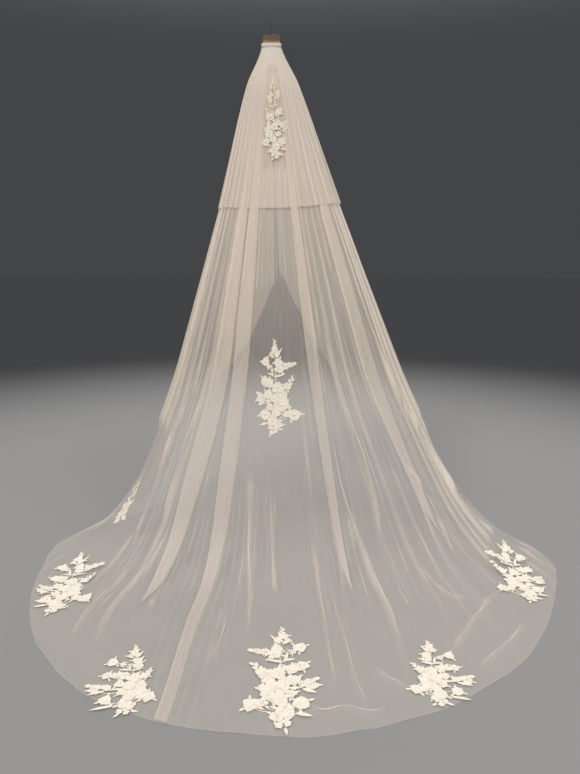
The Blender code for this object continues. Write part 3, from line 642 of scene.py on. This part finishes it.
def net_cover(points, normal, layers):
    """A net stops more light where its folds turn edge on to the cloth's own plane."""
    facing = np.maximum(np.abs((grid_normals(points) * normal).sum(-1)), 0.25)
    depth = layers * (1.0 + FOLD_DEPTH * (1.0 / facing - 1.0))
    return 1.0 - (1.0 - NET_COVER) ** depth


# Materials

def new_material(name):
    made = bpy.data.materials.new(name)
    made.use_nodes = True
    tree = made.node_tree
    return made, tree.nodes, tree.links, tree.nodes["Principled BSDF"]


def tulle_material(name):
    made, nodes, links, shader = new_material(name)
    uv = nodes.new("ShaderNodeUVMap")
    uv.uv_map = "cloth"
    cover = nodes.new("ShaderNodeAttribute")
    cover.attribute_name = "cover"
    stretch = nodes.new("ShaderNodeMapping")
    stretch.inputs["Scale"].default_value = (260.0, 7.0, 1.0)
    links.new(uv.outputs["UV"], stretch.inputs["Vector"])
    streak = nodes.new("ShaderNodeTexNoise")
    streak.inputs["Scale"].default_value = 1.0
    streak.inputs["Detail"].default_value = 3.0
    links.new(stretch.outputs["Vector"], streak.inputs["Vector"])
    spread = nodes.new("ShaderNodeMapRange")
    spread.inputs["From Min"].default_value = 0.3
    spread.inputs["From Max"].default_value = 0.7
    spread.inputs["To Min"].default_value = 0.86
    spread.inputs["To Max"].default_value = 1.14
    links.new(streak.outputs["Fac"], spread.inputs["Value"])
    net = nodes.new("ShaderNodeTexVoronoi")
    net.feature = "DISTANCE_TO_EDGE"
    net.inputs["Scale"].default_value = 620.0
    net.inputs["Randomness"].default_value = 0.25
    links.new(uv.outputs["UV"], net.inputs["Vector"])
    threads = nodes.new("ShaderNodeMapRange")
    threads.inputs["From Min"].default_value = 0.0
    threads.inputs["From Max"].default_value = 0.30
    threads.inputs["To Min"].default_value = 1.35
    threads.inputs["To Max"].default_value = 0.80
    links.new(net.outputs["Distance"], threads.inputs["Value"])
    first = nodes.new("ShaderNodeMath")
    first.operation = "MULTIPLY"
    links.new(cover.outputs["Fac"], first.inputs[0])
    links.new(spread.outputs["Result"], first.inputs[1])
    second = nodes.new("ShaderNodeMath")
    second.operation = "MULTIPLY"
    second.use_clamp = True
    links.new(first.outputs["Value"], second.inputs[0])
    links.new(threads.outputs["Result"], second.inputs[1])
    links.new(second.outputs["Value"], shader.inputs["Alpha"])
    shader.inputs["Base Color"].default_value = (0.93, 0.825, 0.71, 1.0)
    shader.inputs["Roughness"].default_value = 0.62
    shader.inputs["Sheen Weight"].default_value = 0.5
    shader.inputs["Sheen Roughness"].default_value = 0.45
    shader.inputs["Sheen Tint"].default_value = (1.0, 0.96, 0.90, 1.0)
    return made


def lace_material(name):
    made, nodes, links, shader = new_material(name)
    place = nodes.new("ShaderNodeTexCoord")
    cord_and_painted_shade = nodes.new("ShaderNodeAttribute")
    cord_and_painted_shade.attribute_name = "edge"
    threads = nodes.new("ShaderNodeTexVoronoi")
    threads.inputs["Scale"].default_value = 520.0
    links.new(place.outputs["Object"], threads.inputs["Vector"])
    blotch = nodes.new("ShaderNodeTexNoise")
    blotch.inputs["Scale"].default_value = 60.0
    blotch.inputs["Detail"].default_value = 4.0
    links.new(place.outputs["Object"], blotch.inputs["Vector"])
    # Lace tone from the edge share: lighter on the raised cord at leaf and petal edges, on stems and beads, as the
    # denser cord thread; darker in the lower middles and veins, which is painted shade. The blotch noise adds random
    # tone.
    tone = nodes.new("ShaderNodeMix")
    tone.data_type = "RGBA"
    tone.inputs["A"].default_value = (0.78, 0.64, 0.46, 1.0)
    tone.inputs["B"].default_value = (0.98, 0.915, 0.79, 1.0)
    level = nodes.new("ShaderNodeMath")
    level.operation = "MULTIPLY_ADD"
    level.use_clamp = True
    level.inputs[1].default_value = 0.55
    links.new(cord_and_painted_shade.outputs["Fac"], level.inputs[0])
    links.new(blotch.outputs["Fac"], level.inputs[2])
    links.new(level.outputs["Value"], tone.inputs["Factor"])
    links.new(tone.outputs["Result"], shader.inputs["Base Color"])
    bump = nodes.new("ShaderNodeBump")
    bump.inputs["Strength"].default_value = 0.6
    bump.inputs["Distance"].default_value = 0.0006
    links.new(threads.outputs["Distance"], bump.inputs["Height"])
    links.new(bump.outputs["Normal"], shader.inputs["Normal"])
    shader.inputs["Roughness"].default_value = 0.68
    shader.inputs["Sheen Weight"].default_value = 0.3
    return made


def metal_material(name, dark, light, roughness, metallic, scale):
    made, nodes, links, shader = new_material(name)
    place = nodes.new("ShaderNodeTexCoord")
    noise = nodes.new("ShaderNodeTexNoise")
    noise.inputs["Scale"].default_value = scale
    noise.inputs["Detail"].default_value = 5.0
    links.new(place.outputs["Object"], noise.inputs["Vector"])
    tone = nodes.new("ShaderNodeMix")
    tone.data_type = "RGBA"
    tone.inputs["A"].default_value = dark
    tone.inputs["B"].default_value = light
    links.new(noise.outputs["Fac"], tone.inputs["Factor"])
    links.new(tone.outputs["Result"], shader.inputs["Base Color"])
    rough = nodes.new("ShaderNodeMapRange")
    rough.inputs["To Min"].default_value = roughness * 0.75
    rough.inputs["To Max"].default_value = roughness * 1.3
    links.new(noise.outputs["Fac"], rough.inputs["Value"])
    links.new(rough.outputs["Result"], shader.inputs["Roughness"])
    shader.inputs["Metallic"].default_value = metallic
    return made


def satin_material(name):
    made, nodes, links, shader = new_material(name)
    place = nodes.new("ShaderNodeTexCoord")
    wave = nodes.new("ShaderNodeTexWave")
    wave.inputs["Scale"].default_value = 420.0
    wave.inputs["Distortion"].default_value = 0.6
    links.new(place.outputs["Object"], wave.inputs["Vector"])
    bump = nodes.new("ShaderNodeBump")
    bump.inputs["Strength"].default_value = 0.25
    bump.inputs["Distance"].default_value = 0.0003
    links.new(wave.outputs["Fac"], bump.inputs["Height"])
    links.new(bump.outputs["Normal"], shader.inputs["Normal"])
    tone = nodes.new("ShaderNodeMix")
    tone.data_type = "RGBA"
    tone.inputs["A"].default_value = (0.88, 0.80, 0.68, 1.0)
    tone.inputs["B"].default_value = (0.98, 0.93, 0.84, 1.0)
    links.new(wave.outputs["Fac"], tone.inputs["Factor"])
    links.new(tone.outputs["Result"], shader.inputs["Base Color"])
    shader.inputs["Roughness"].default_value = 0.38
    shader.inputs["Sheen Weight"].default_value = 0.4
    return made


# Lace

class Motif:
    """Points with a place across and along the spray, a height and how near an edge they are."""

    def __init__(self):
        self.points, self.faces = [], []

    def leaf(self, foot, tip, half, height, rise=0.0012, scallops=0, blunt=0.75, steps=7, cup=0.0):
        foot, tip = np.array(foot), np.array(tip)
        axis = tip - foot
        side = np.array((-axis[1], axis[0])) / max(math.hypot(*axis), 1e-9)
        first, wide = len(self.points), 4
        for i in range(steps + 1):
            t = i / steps
            grown = math.sin(math.pi * min(1.0, t ** blunt)) ** 0.75 if 0.0 < t < 1.0 else 0.06
            if scallops:
                grown *= 1.0 + 0.16 * math.cos(2.0 * math.pi * scallops * t)
            for k in range(-wide // 2, wide // 2 + 1):
                w = 2.0 * k / wide
                spot = foot + axis * (t + 0.05 * (1.0 - w * w) * (t > 0.8)) + side * half * grown * w
                vein = -0.35 if k == 0 else 0.0
                h = height + rise * (0.55 + vein + 0.45 * (abs(w) > 0.9)) * math.sin(math.pi * (0.1 + 0.8 * t))
                h += cup * t * t * (0.6 + 0.4 * abs(w))
                self.points.append((spot[0], spot[1], h, abs(w)))
        across = wide + 1
        for i in range(steps):
            for k in range(wide):
                a = first + i * across + k
                self.faces.append((a, a + 1, a + 1 + across, a + across))

    def flower(self, centre, radius, petals, phase, height):
        for k in range(petals):
            angle = phase + 2.0 * math.pi * k / petals + 0.12 * math.sin(5.0 * k + phase)
            reach = radius * (0.92 + 0.12 * math.sin(3.1 * k + 2.0 * phase))
            foot = (centre[0] + 0.12 * reach * math.cos(angle), centre[1] + 0.12 * reach * math.sin(angle))
            tip = (centre[0] + reach * math.cos(angle), centre[1] + reach * math.sin(angle))
            self.leaf(foot, tip, radius * 0.40, height + 0.0002 * (k % 2), 0.0011, 3, 1.25, 6, 0.0010)
        self.bead(centre, radius * 0.20, height + 0.0006, 8)

    def bead(self, centre, radius, height, sides=6):
        first = len(self.points)
        for ring, (share, up) in enumerate(((1.0, 0.0), (0.72, 0.6))):
            for k in range(sides):
                angle = 2.0 * math.pi * (k + 0.5 * ring) / sides
                x, y = centre[0] + radius * share * math.cos(angle), centre[1] + radius * share * math.sin(angle)
                self.points.append((x, y, height + radius * 0.7 * up, 1.0))
        self.points.append((centre[0], centre[1], height + radius * 0.85, 1.0))
        for k in range(sides):
            n = (k + 1) % sides
            self.faces.append((first + k, first + n, first + sides + n, first + sides + k))
            self.faces.append((first + sides + k, first + sides + n, first + 2 * sides))

    def stem(self, points, half, height):
        first = len(self.points)
        points = [np.array(point) for point in points]
        for i, point in enumerate(points):
            axis = points[min(i + 1, len(points) - 1)] - points[max(i - 1, 0)]
            side = np.array((-axis[1], axis[0])) / max(math.hypot(*axis), 1e-9)
            narrow = 1.0 - 0.55 * i / (len(points) - 1)
            for w in (-1.0, 0.0, 1.0):
                spot = point + side * half * narrow * w
                self.points.append((spot[0], spot[1], height + 0.0013 * narrow * (1.0 - w * w), 1.0))
        for i in range(len(points) - 1):
            for k in range(2):
                a = first + 3 * i + k
                self.faces.append((a, a + 1, a + 4, a + 3))


    def fan(self, centre, radius, start, sweep, blades, height):
        """Narrow blades side by side, like a feathery leaf."""
        for k in range(blades):
            angle = start + sweep * k / (blades - 1)
            reach = radius * (0.85 + 0.15 * math.sin(2.6 * k + start))
            foot = (centre[0] + 0.15 * reach * math.cos(angle), centre[1] + 0.15 * reach * math.sin(angle))
            tip = (centre[0] + reach * math.cos(angle), centre[1] + reach * math.sin(angle))
            self.leaf(foot, tip, 0.62 * reach * abs(sweep) / blades, height, 0.0010, 0, 1.3, 5, 0.0006)


# The spray: (kind, across, along, angle or to across, to along, size), in shares of its length
SPRAY = (
    ("buds", 0.000, 0.860, 0.005, 0.985, 0.028),
    ("leaf", -0.010, 0.790, -0.120, 0.900, 0.013),
    ("leaf", 0.005, 0.785, 0.105, 0.835, 0.014),
    ("bloom", 0.012, 0.880, 0.3, 5, 0.054),
    ("bloom", -0.030, 0.825, 0.9, 5, 0.044),
    ("bloom", 0.055, 0.825, 1.1, 4, 0.036),
    ("bloom", -0.045, 0.740, 0.0, 6, 0.060),
    ("bloom", 0.170, 0.750, 0.2, 6, 0.066),
    ("bloom", 0.105, 0.700, 1.7, 4, 0.040),
    ("bloom", -0.060, 0.675, 2.0, 5, 0.062),
    ("toothed", -0.110, 0.695, -0.325, 0.728, 0.050),
    ("leaf", 0.020, 0.590, -0.150, 0.622, 0.015),
    ("leaf", 0.010, 0.610, 0.130, 0.632, 0.015),
    ("leaf", 0.030, 0.590, 0.060, 0.710, 0.013),
    ("fan", 0.120, 0.500, 0.4, 2.2, 0.120),
    ("bloom", 0.190, 0.560, 1.0, 5, 0.058),
    ("bloom", 0.090, 0.520, 0.4, 5, 0.062),
    ("bloom", -0.030, 0.480, 0.6, 6, 0.076),
    ("bloom", 0.110, 0.420, 0.1, 6, 0.060),
    ("buds", -0.150, 0.465, -0.262, 0.590, 0.034),
    ("bloom", -0.165, 0.490, 0.9, 5, 0.052),
    ("bloom", -0.110, 0.415, 0.2, 5, 0.054),
    ("fan", -0.060, 0.320, 0.6, 3.4, 0.140),
    ("bloom", 0.020, 0.375, 0.4, 6, 0.072),
    ("bloom", -0.070, 0.305, 0.2, 7, 0.092),
    ("leaf", 0.040, 0.340, 0.190, 0.350, 0.013),
    ("toothed", 0.150, 0.370, 0.335, 0.440, 0.044),
    ("bloom", 0.265, 0.372, 0.5, 5, 0.058),
    ("leaf", 0.180, 0.340, 0.300, 0.305, 0.018),
    ("bloom", 0.085, 0.290, 1.4, 5, 0.054),
    ("bloom", -0.245, 0.200, 0.0, 7, 0.072),
    ("bloom", -0.155, 0.215, 0.8, 5, 0.054),
    ("bloom", 0.000, 0.230, 0.5, 6, 0.066),
    ("bloom", 0.170, 0.212, 0.3, 6, 0.072),
    ("bloom", 0.040, 0.150, 0.9, 6, 0.080),
    ("leaf", 0.120, 0.128, 0.260, 0.105, 0.016),
    ("bloom", -0.035, 0.105, 1.9, 5, 0.050),
    ("bloom", 0.030, 0.062, 1.2, 4, 0.078),
)
SPRAY_BREADTH = 0.76
FLOOR_SEEDS = (2, 3, 6, 5, 8)


def spray_motif(size, left, right, seed):
    """A spray of flowers, buds and toothed leaves, in the reach of its solid."""
    motif = Motif()
    flip = -1.0 if seed % 2 else 1.0
    grown = 0.86 * math.sqrt(0.5 * (left + right))

    def spot(across, along):
        across = across * flip
        share = right if across > 0.0 else left
        arm = SPRAY_BREADTH + (share - 1.0) * SPRAY_BREADTH * float(smooth(abs(across), 0.03, 0.20))
        return across * arm * size, along * size

    line = [spot(0.02 * math.sin(6.0 * t), t) for t in np.linspace(0.05, 0.90, 14)]
    motif.stem(line, 0.0024, 0.0002)
    for row, (kind, across, along, a, b, radius) in enumerate(SPRAY):
        if size < 0.35 and kind == "toothed" and along > 0.6:
            continue
        height = 0.0006 + 0.0007 * (row % 3)
        at = spot(across, along)
        radius = radius * size * grown * (0.94 + 0.12 * chance(seed, row))
        if kind == "bloom" and abs(across) > 0.10:
            near = np.array(spot(across * 0.30, along - 0.06))
            way = np.array(at) - near
            bow = np.array((-way[1], way[0])) * 0.12
            motif.stem([near + way * t + bow * math.sin(math.pi * t) for t in np.linspace(0.0, 0.9, 6)], 0.0016, height)
        if kind == "bloom":
            motif.flower(at, radius * 1.02, b, a + 3.0 * chance(seed, 40 + row), height)
            for k in range(3):
                angle = 2.1 * k + 6.28 * chance(seed, 200 + row)
                lean = np.array((math.cos(angle), math.sin(angle)))
                motif.leaf(np.array(at) + lean * radius * 0.7, np.array(at) + lean * radius * (1.45 + 0.2 * chance(seed, 240 + k)), radius * 0.17, height - 0.0003, 0.0010, 0, 0.8, 5)
        elif kind == "fan":
            motif.fan(at, radius, a if flip > 0.0 else math.pi - a, flip * b, 9, height)
        elif kind == "leaf":
            motif.leaf(at, spot(a, b), radius, height, 0.0012, 0, 0.8, 8)
        elif kind == "toothed":
            end = np.array(spot(a, b))
            axis = end - np.array(at)
            motif.stem([np.array(at) + axis * t for t in (0.0, 0.5, 1.0)], 0.0014, height)
            side = np.array((-axis[1], axis[0]))
            for k in range(8):
                root = np.array(at) + axis * (0.04 + 0.11 * k)
                for way in (-1.0, 1.0):
                    out = radius * (1.0 - 0.09 * k) * (1.0 + 0.2 * math.sin(2.0 * k + way))
                    tip = root + axis * 0.10 + side * way * out / length(axis)
                    motif.leaf(root, tip, 0.060 * length(axis), height, 0.0009, 0, 0.9, 4)
            motif.leaf(end - axis * 0.2, end, 0.09 * length(axis), height)
        else:
            end = np.array(spot(a, b))
            axis = end - np.array(at)
            motif.stem([np.array(at) + axis * t for t in (0.0, 0.5, 0.9)], 0.0014, height)
            side = np.array((-axis[1], axis[0])) / max(length(axis), 1e-9)
            for k in range(7):
                t, way = k / 6.5, (-1.0 if k % 2 else 1.0)
                bud = np.array(at) + axis * t + side * way * radius * (0.75 - 0.45 * t)
                lean = axis / length(axis) * radius * 0.8 + side * way * radius * 0.35
                motif.leaf(bud - lean, bud + lean, radius * (0.58 - 0.18 * t), height + 0.0004, 0.0016, 0, 1.0, 6)
    for k in range(34):
        t = chance(seed, 100 + k)
        motif.bead(spot((1.0 - t) * 0.30 * (chance(seed, 140 + k) - 0.5), 0.06 + 0.86 * t), 0.0015, 0.0036)
    return np.array(motif.points), motif.faces


def lay_on_floor(points, cloth, x, y, direction):
    """Sets a motif down on the train, or level with it past the hem."""
    angle = math.radians(direction)
    out = []
    for across, along, height, _ in points:
        px = x + across * math.cos(angle) - along * math.sin(angle)
        py = y + across * math.sin(angle) + along * math.cos(angle)
        hit, normal, _, _ = cloth.ray_cast(Vector((px, py, -1.9)), Vector((0.0, 0.0, -1.0)))
        if hit is None:
            out.append((px, py, FLOOR_Z + 0.0016 + height))
        else:
            normal = normal if normal.z > 0.0 else -normal
            spot = hit + normal * (height + 0.0012)
            spot.z = max(spot.z, FLOOR_Z + 0.0010)
            out.append(spot)
    return np.array([tuple(spot) for spot in out])


def lay_on_cloth(points, turn, run, clear):
    degree = float(metres_a_degree(np.array(turn), np.array(run)))
    here, height = turn + points[:, 0] / degree, run - points[:, 1]
    normal = base_normal(here, height)
    rise = 0.0012 + points[:, 2]
    if clear:
        rise = rise + 0.0060 * smooth(height, 0.1, 0.7)
    return base_point(here, height) + normal * (0.0006 + rise)[:, None]


def lace_piece(name, spots, points, faces, coat):
    mesh = bpy.data.meshes.new(name)
    mesh.from_pydata(spots.tolist(), [], faces)
    # The edge share sets the lace's tone: the cord's lighter thread, and painted shade in the lower middles
    attribute = mesh.attributes.new("edge", "FLOAT", "POINT")
    attribute.data.foreach_set("value", points[:, 3].astype(np.float32))
    mesh.shade_smooth()
    mesh.materials.append(coat)
    made = bpy.data.objects.new(name + "_spray", mesh)
    bpy.context.scene.collection.objects.link(made)
    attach(made, "root")
    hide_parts(name)
    return made


def build_lace(cloth):
    coat = lace_material("corded_lace")
    for seed, (name, x, y, direction, size, left, right) in enumerate(FLOOR_SPRAYS):
        points, faces = spray_motif(size, left, right, FLOOR_SEEDS[seed])
        lace_piece(name, lay_on_floor(points, cloth, x, y, direction), points, faces, coat)
    for seed, (name, turn, run, size, left, right) in enumerate(HUNG_SPRAYS):
        points, faces = spray_motif(size, left, right, seed + 11)
        lace_piece(name, lay_on_cloth(points, turn, run, name == "lace_top"), points, faces, coat)


# Both tiers

def build_long_tier(coat):
    turns, run, points, normal, pinch = long_tier()
    width = np.broadcast_to(turns * 0.0085, run.shape)
    layers = fullness(run) * (1.0 + BACK_FULLNESS * smooth(np.abs(turns), 88.0, 112.0)) + pinch
    cover = net_cover(points, normal, layers)
    for raw in (cover[-1], cover[:, 0], cover[:, -1]):
        raw *= RAW_EDGE
    made = shell("long_tier", points, np.stack([width, run], -1), cover, pinched_strips())
    assert len(made.data.polygons) < 100000
    made.data.materials.append(coat)
    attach(made, "root")
    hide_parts("main_veil")
    return made


def build_short_tier(coat):
    turns = np.linspace(-BLUSHER_LAST_TURN, BLUSHER_LAST_TURN, 561)
    shares = np.concatenate([np.linspace(0.0, 0.1, 9), np.linspace(0.12, 1.0, 45)])
    turn = np.broadcast_to(turns, (len(shares), len(turns)))
    share = np.broadcast_to(shares[:, None], turn.shape)
    full = BLUSHER_RUN + (BLUSHER_SIDE_RUN - BLUSHER_RUN) * smooth(np.abs(turn), 0.0, BLUSHER_LAST_TURN)
    run = full * share
    clear = BLUSHER_CLEAR_TOP + (BLUSHER_CLEAR_HEM - BLUSHER_CLEAR_TOP) * smooth(share, -0.1, 0.9)
    swirl = turn + 2.2 * np.sin(np.radians(turn * 4.0 + 15.0)) + 1.1 * np.sin(np.radians(turn * 9.0))
    waves = np.sin(np.radians(swirl * 46.0)) + 0.7 * np.sin(np.radians(swirl * 73.0 + 50.0))
    waves = waves + 0.5 * np.sin(np.radians(swirl * 121.0)) * (1.0 - 0.6 * share)
    ripple = 0.0013 * waves * smooth(share, 0.02, 0.5)
    degree = metres_a_degree(turn, run)
    for i in range(34):
        middle = BLUSHER_LAST_TURN * (2.0 * (i + 0.5 + 0.9 * (chance(i, 20) - 0.5)) / 34.0 - 1.0)
        off = (turn - middle) * degree / (0.005 + 0.005 * chance(i, 21))
        ripple = ripple + (0.002 + 0.004 * chance(i, 22)) * np.exp(-off * off) * smooth(share, 0.15 + 0.4 * chance(i, 23), 0.95)
    normal = base_normal(turn, run)
    points = base_point(turn, run) + normal * (0.0006 + clear + ripple)[..., None]
    over_lace = smooth(run, 0.08, 0.16) * (1.0 - smooth(run, 0.62, 0.68))
    over_lace = over_lace * smooth(turn, -19.0, -9.0) * (1.0 - smooth(turn, 14.0, 24.0))
    layers = 2.2 + 0.5 * (1.0 - smooth(run, 0.3, 0.9)) + 2.6 * (1.0 - smooth(run, 0.0, 0.30))
    cover = net_cover(points, normal, layers * (1.0 - 0.84 * over_lace))
    made = shell("short_tier", points, np.stack([turn * 0.0085, run + 4.0], -1), cover)
    made.data.materials.append(coat)
    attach(made, "root")
    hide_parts("blusher")
    return made


# Fittings

def tube(points, radius, sides=5, closed=False):
    """Points and faces of a thin round wire along a line."""
    points = np.array(points)
    ahead = np.roll(points, -1, 0) - np.roll(points, 1, 0)
    if not closed:
        ahead[0], ahead[-1] = points[1] - points[0], points[-1] - points[-2]
    ahead = unit(ahead)
    up = np.where(np.abs(ahead[:, 2:]) > 0.9, np.array((1.0, 0.0, 0.0)), np.array((0.0, 0.0, 1.0)))
    side = unit(np.cross(ahead, up))
    over = np.cross(side, ahead)
    angles = np.linspace(0.0, 2.0 * math.pi, sides, endpoint=False)
    rings = points[:, None] + radius * (side[:, None] * np.cos(angles)[:, None] + over[:, None] * np.sin(angles)[:, None])
    faces = []
    for i in range(len(points) - (0 if closed else 1)):
        j = (i + 1) % len(points)
        for k in range(sides):
            n = (k + 1) % sides
            faces.append((i * sides + k, j * sides + k, j * sides + n, i * sides + n))
    if not closed:
        last = (len(points) - 1) * sides
        faces.append(tuple(range(sides - 1, -1, -1)))
        faces.append(tuple(last + k for k in range(sides)))
    return rings.reshape(-1, 3), faces


def joined(name, parts, coat):
    points, faces = [], []
    for spots, links in parts:
        first = len(points)
        points += [tuple(spot) for spot in spots]
        faces += [tuple(first + i for i in face) for face in links]
    mesh = bpy.data.meshes.new(name)
    mesh.from_pydata(points, [], faces)
    mesh.shade_smooth()
    mesh.materials.append(coat)
    made = bpy.data.objects.new(name, mesh)
    bpy.context.scene.collection.objects.link(made)
    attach(made, "root")
    return made


COMB_TEETH = 8
TOOTH_PITCH = 0.0104
TOOTH_WIRE = 0.00090
COMB_ARCH = 0.0075


def build_fittings(gold, satin):
    """The fine wire wound round the comb's spine and the stitches through the band."""
    (x0, y0, z0), (x1, y1, z1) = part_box("comb_spine")
    middle, high = 0.5 * (y0 + y1), 0.5 * (z0 + z1)
    t = np.linspace(0.0, 1.0, 52 * 14)
    angle = 2.0 * math.pi * 52 * t
    across = x0 + 0.002 + (x1 - x0 - 0.004) * t
    depth = middle + (0.5 * (y1 - y0) + 0.0003) * np.cos(angle)
    height = high + (0.5 * (z1 - z0) + 0.0003) * np.sin(angle)
    (left, near, low), (right, far, top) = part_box("comb_teeth")
    legs = []
    half = TOOTH_PITCH / 4.0
    for k in range(COMB_TEETH):
        centre = 0.5 * (left + right) + (k - 0.5 * (COMB_TEETH - 1)) * TOOTH_PITCH
        crown = top - TOOTH_WIRE - COMB_ARCH * (2.0 * (centre - left) / (right - left) - 1.0) ** 4
        foot, neck = z1 - 0.001, crown - half
        line = [(centre - half, z) for z in np.linspace(foot, neck, 5)]
        line += [(centre - half * math.cos(a), neck + half * math.sin(a)) for a in np.linspace(0.3, math.pi - 0.3, 6)]
        line += [(centre + half, z) for z in np.linspace(neck, foot, 5)]
        bow = [0.5 * (near + far) + 0.35 * (far - near) * math.sin(math.pi * (z - foot) / (top - foot)) - 0.0004 for _, z in line]
        legs.append(tube([(x, y, z) for (x, z), y in zip(line, bow)], TOOTH_WIRE, 6))
    teeth = joined("comb_wires", legs, gold)
    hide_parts("comb_teeth")
    joined("spine_wire", [tube(np.stack([across, depth, height], -1), 0.00042)], gold)
    (x0, y0, z0), (x1, y1, z1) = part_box("binding_band")
    stitches = []
    for k in range(64):
        angle = 2.0 * math.pi * k / 64
        centre = np.array((0.5 * (x0 + x1) + 0.5 * (x1 - x0) * math.cos(angle), 0.5 * (y0 + y1) + 0.5 * (y1 - y0) * math.sin(angle), 0.0))
        ahead = np.array((-(x1 - x0) * math.sin(angle), (y1 - y0) * math.cos(angle), 0.0))
        ahead = ahead / length(ahead)
        out = np.array((ahead[1], -ahead[0], 0.0))
        for up, lean in ((z0 + 0.0035, 0.0011), (z1 - 0.0030, 0.0)):
            base = centre + np.array((0.0, 0.0, up)) + out * 0.00012
            line = [base + ahead * s * 0.0015 + np.array((0.0, 0.0, lean * s)) + out * 0.0003 * (1.0 - s * s) for s in (-1.0, -0.4, 0.4, 1.0)]
            stitches.append(tube(line, 0.00026, 4))
    joined("band_stitches", stitches, satin)


# Stage

def build_stage():
    """A round floor with a painted pool of light: pale round the veil, darkening evenly with the distance from it into
    painted shade, in place of a lamp's falloff.
    """
    rings = [0.0, 1.0, 2.0, 3.0, 4.0, 5.0, 6.0, 8.0, 12.0, 20.0, 60.0]
    points, faces, sides = [], [], 48
    for radius in rings[1:]:
        for k in range(sides):
            angle = 2.0 * math.pi * k / sides
            points.append((radius * math.cos(angle), radius * math.sin(angle) - 0.8, FLOOR_Z - 0.0008))
    faces.append(tuple(range(sides)))
    for i in range(len(rings) - 2):
        for k in range(sides):
            a, b = i * sides + k, i * sides + (k + 1) % sides
            faces.append((a, a + sides, b + sides, b))
    mesh = bpy.data.meshes.new("floor_with_painted_light_pool")
    mesh.from_pydata(points, [], faces)
    floor = bpy.data.objects.new("floor_with_painted_light_pool", mesh)
    bpy.context.scene.collection.objects.link(floor)
    made, nodes, links, shader = new_material("floor_with_painted_light_pool")
    place = nodes.new("ShaderNodeTexCoord")
    flat = nodes.new("ShaderNodeVectorMath")
    flat.operation = "MULTIPLY_ADD"
    flat.inputs[1].default_value = (1.0, 1.0, 0.0)
    flat.inputs[2].default_value = (0.0, 0.8, 0.0)
    links.new(place.outputs["Object"], flat.inputs[0])
    away = nodes.new("ShaderNodeVectorMath")
    away.operation = "LENGTH"
    links.new(flat.outputs["Vector"], away.inputs[0])
    # Painted light: the floor's colour stays pale near the veil and falls off into painted shade further away
    fade = nodes.new("ShaderNodeMapRange")
    fade.interpolation_type = "SMOOTHSTEP"
    fade.inputs["From Min"].default_value = PAINTED_LIGHT_POOL_TO
    fade.inputs["From Max"].default_value = PAINTED_SHADE_FROM
    links.new(away.outputs["Value"], fade.inputs["Value"])
    tone = nodes.new("ShaderNodeMix")
    tone.data_type = "RGBA"
    tone.inputs["A"].default_value = (0.295, 0.292, 0.288, 1.0)
    tone.inputs["B"].default_value = (0.051, 0.052, 0.054, 1.0)
    links.new(fade.outputs["Result"], tone.inputs["Factor"])
    links.new(tone.outputs["Result"], shader.inputs["Base Color"])
    shader.inputs["Roughness"].default_value = 1.0
    shader.inputs["Specular IOR Level"].default_value = 0.0
    floor.data.materials.append(made)


def add_sun(name, azimuth, height, strength, spread, colour):
    """A soft light from far away. Azimuth 0 is straight in front, positive to the right."""
    data = bpy.data.lights.new(name, "SUN")
    data.energy, data.color, data.angle = strength, colour, math.radians(spread)
    made = bpy.data.objects.new(name, data)
    made.rotation_euler = (math.radians(90.0 - height), 0.0, math.radians(azimuth))
    bpy.context.scene.collection.objects.link(made)


def build_camera_and_lights():
    data = bpy.data.cameras.new("camera")
    data.lens = CAMERA_LENS
    data.sensor_width = 36.0
    data.clip_start, data.clip_end = 0.05, 100.0
    camera = bpy.data.objects.new("camera", data)
    camera.location = CAMERA_AT
    camera.rotation_euler = (math.radians(90.0 - CAMERA_DOWN), 0.0, 0.0)
    bpy.context.scene.collection.objects.link(camera)
    bpy.context.scene.camera = camera
    world = bpy.data.worlds.new("studio")
    bpy.context.scene.world = world
    world.use_nodes = True
    nodes, links = world.node_tree.nodes, world.node_tree.links
    place = nodes.new("ShaderNodeTexCoord")
    split = nodes.new("ShaderNodeSeparateXYZ")
    links.new(place.outputs["Generated"], split.inputs["Vector"])
    climb = nodes.new("ShaderNodeMapRange")
    climb.interpolation_type = "SMOOTHSTEP"
    climb.inputs["From Min"].default_value = 0.30
    climb.inputs["From Max"].default_value = 0.85
    links.new(split.outputs["Z"], climb.inputs["Value"])
    tone = nodes.new("ShaderNodeMix")
    tone.data_type = "RGBA"
    tone.inputs["A"].default_value = (0.058, 0.059, 0.062, 1.0)
    tone.inputs["B"].default_value = (0.80, 0.80, 0.82, 1.0)
    links.new(climb.outputs["Result"], tone.inputs["Factor"])
    links.new(tone.outputs["Result"], nodes["Background"].inputs["Color"])
    add_sun("key", -32.0, 46.0, 1.50, 24.0, (1.0, 0.975, 0.94))
    add_sun("fill", 48.0, 36.0, 0.62, 40.0, (0.97, 0.98, 1.0))
    add_sun("back", 165.0, 40.0, 0.40, 40.0, (1.0, 1.0, 1.0))
    bpy.context.scene.view_settings.view_transform = "Standard"


def main():
    bpy.context.scene.cycles.transparent_max_bounces = 32
    build_camera_and_lights()
    build_stage()
    tulle = tulle_material("sheer_net")
    long_shell = build_long_tier(tulle)
    build_short_tier(tulle)
    faces = [face.vertices for face in long_shell.data.polygons]
    cloth = BVHTree.FromPolygons([vert.co for vert in long_shell.data.vertices], faces)
    build_lace(cloth)
    gold = metal_material("gilt_wire", (0.34, 0.17, 0.06, 1.0), (0.86, 0.60, 0.30, 1.0), 0.34, 0.6, 260.0)
    black = metal_material("black_enamel", (0.010, 0.010, 0.011, 1.0), (0.030, 0.030, 0.032, 1.0), 0.35, 0.4, 180.0)
    satin = satin_material("satin_band")
    build_fittings(gold, satin)
    for node, coat in (("comb_spine", gold), ("hook", black), ("binding_band", satin)):
        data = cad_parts[node].data
        data.materials.clear()
        data.materials.append(coat)


main()
bpy.context.view_layer.update()
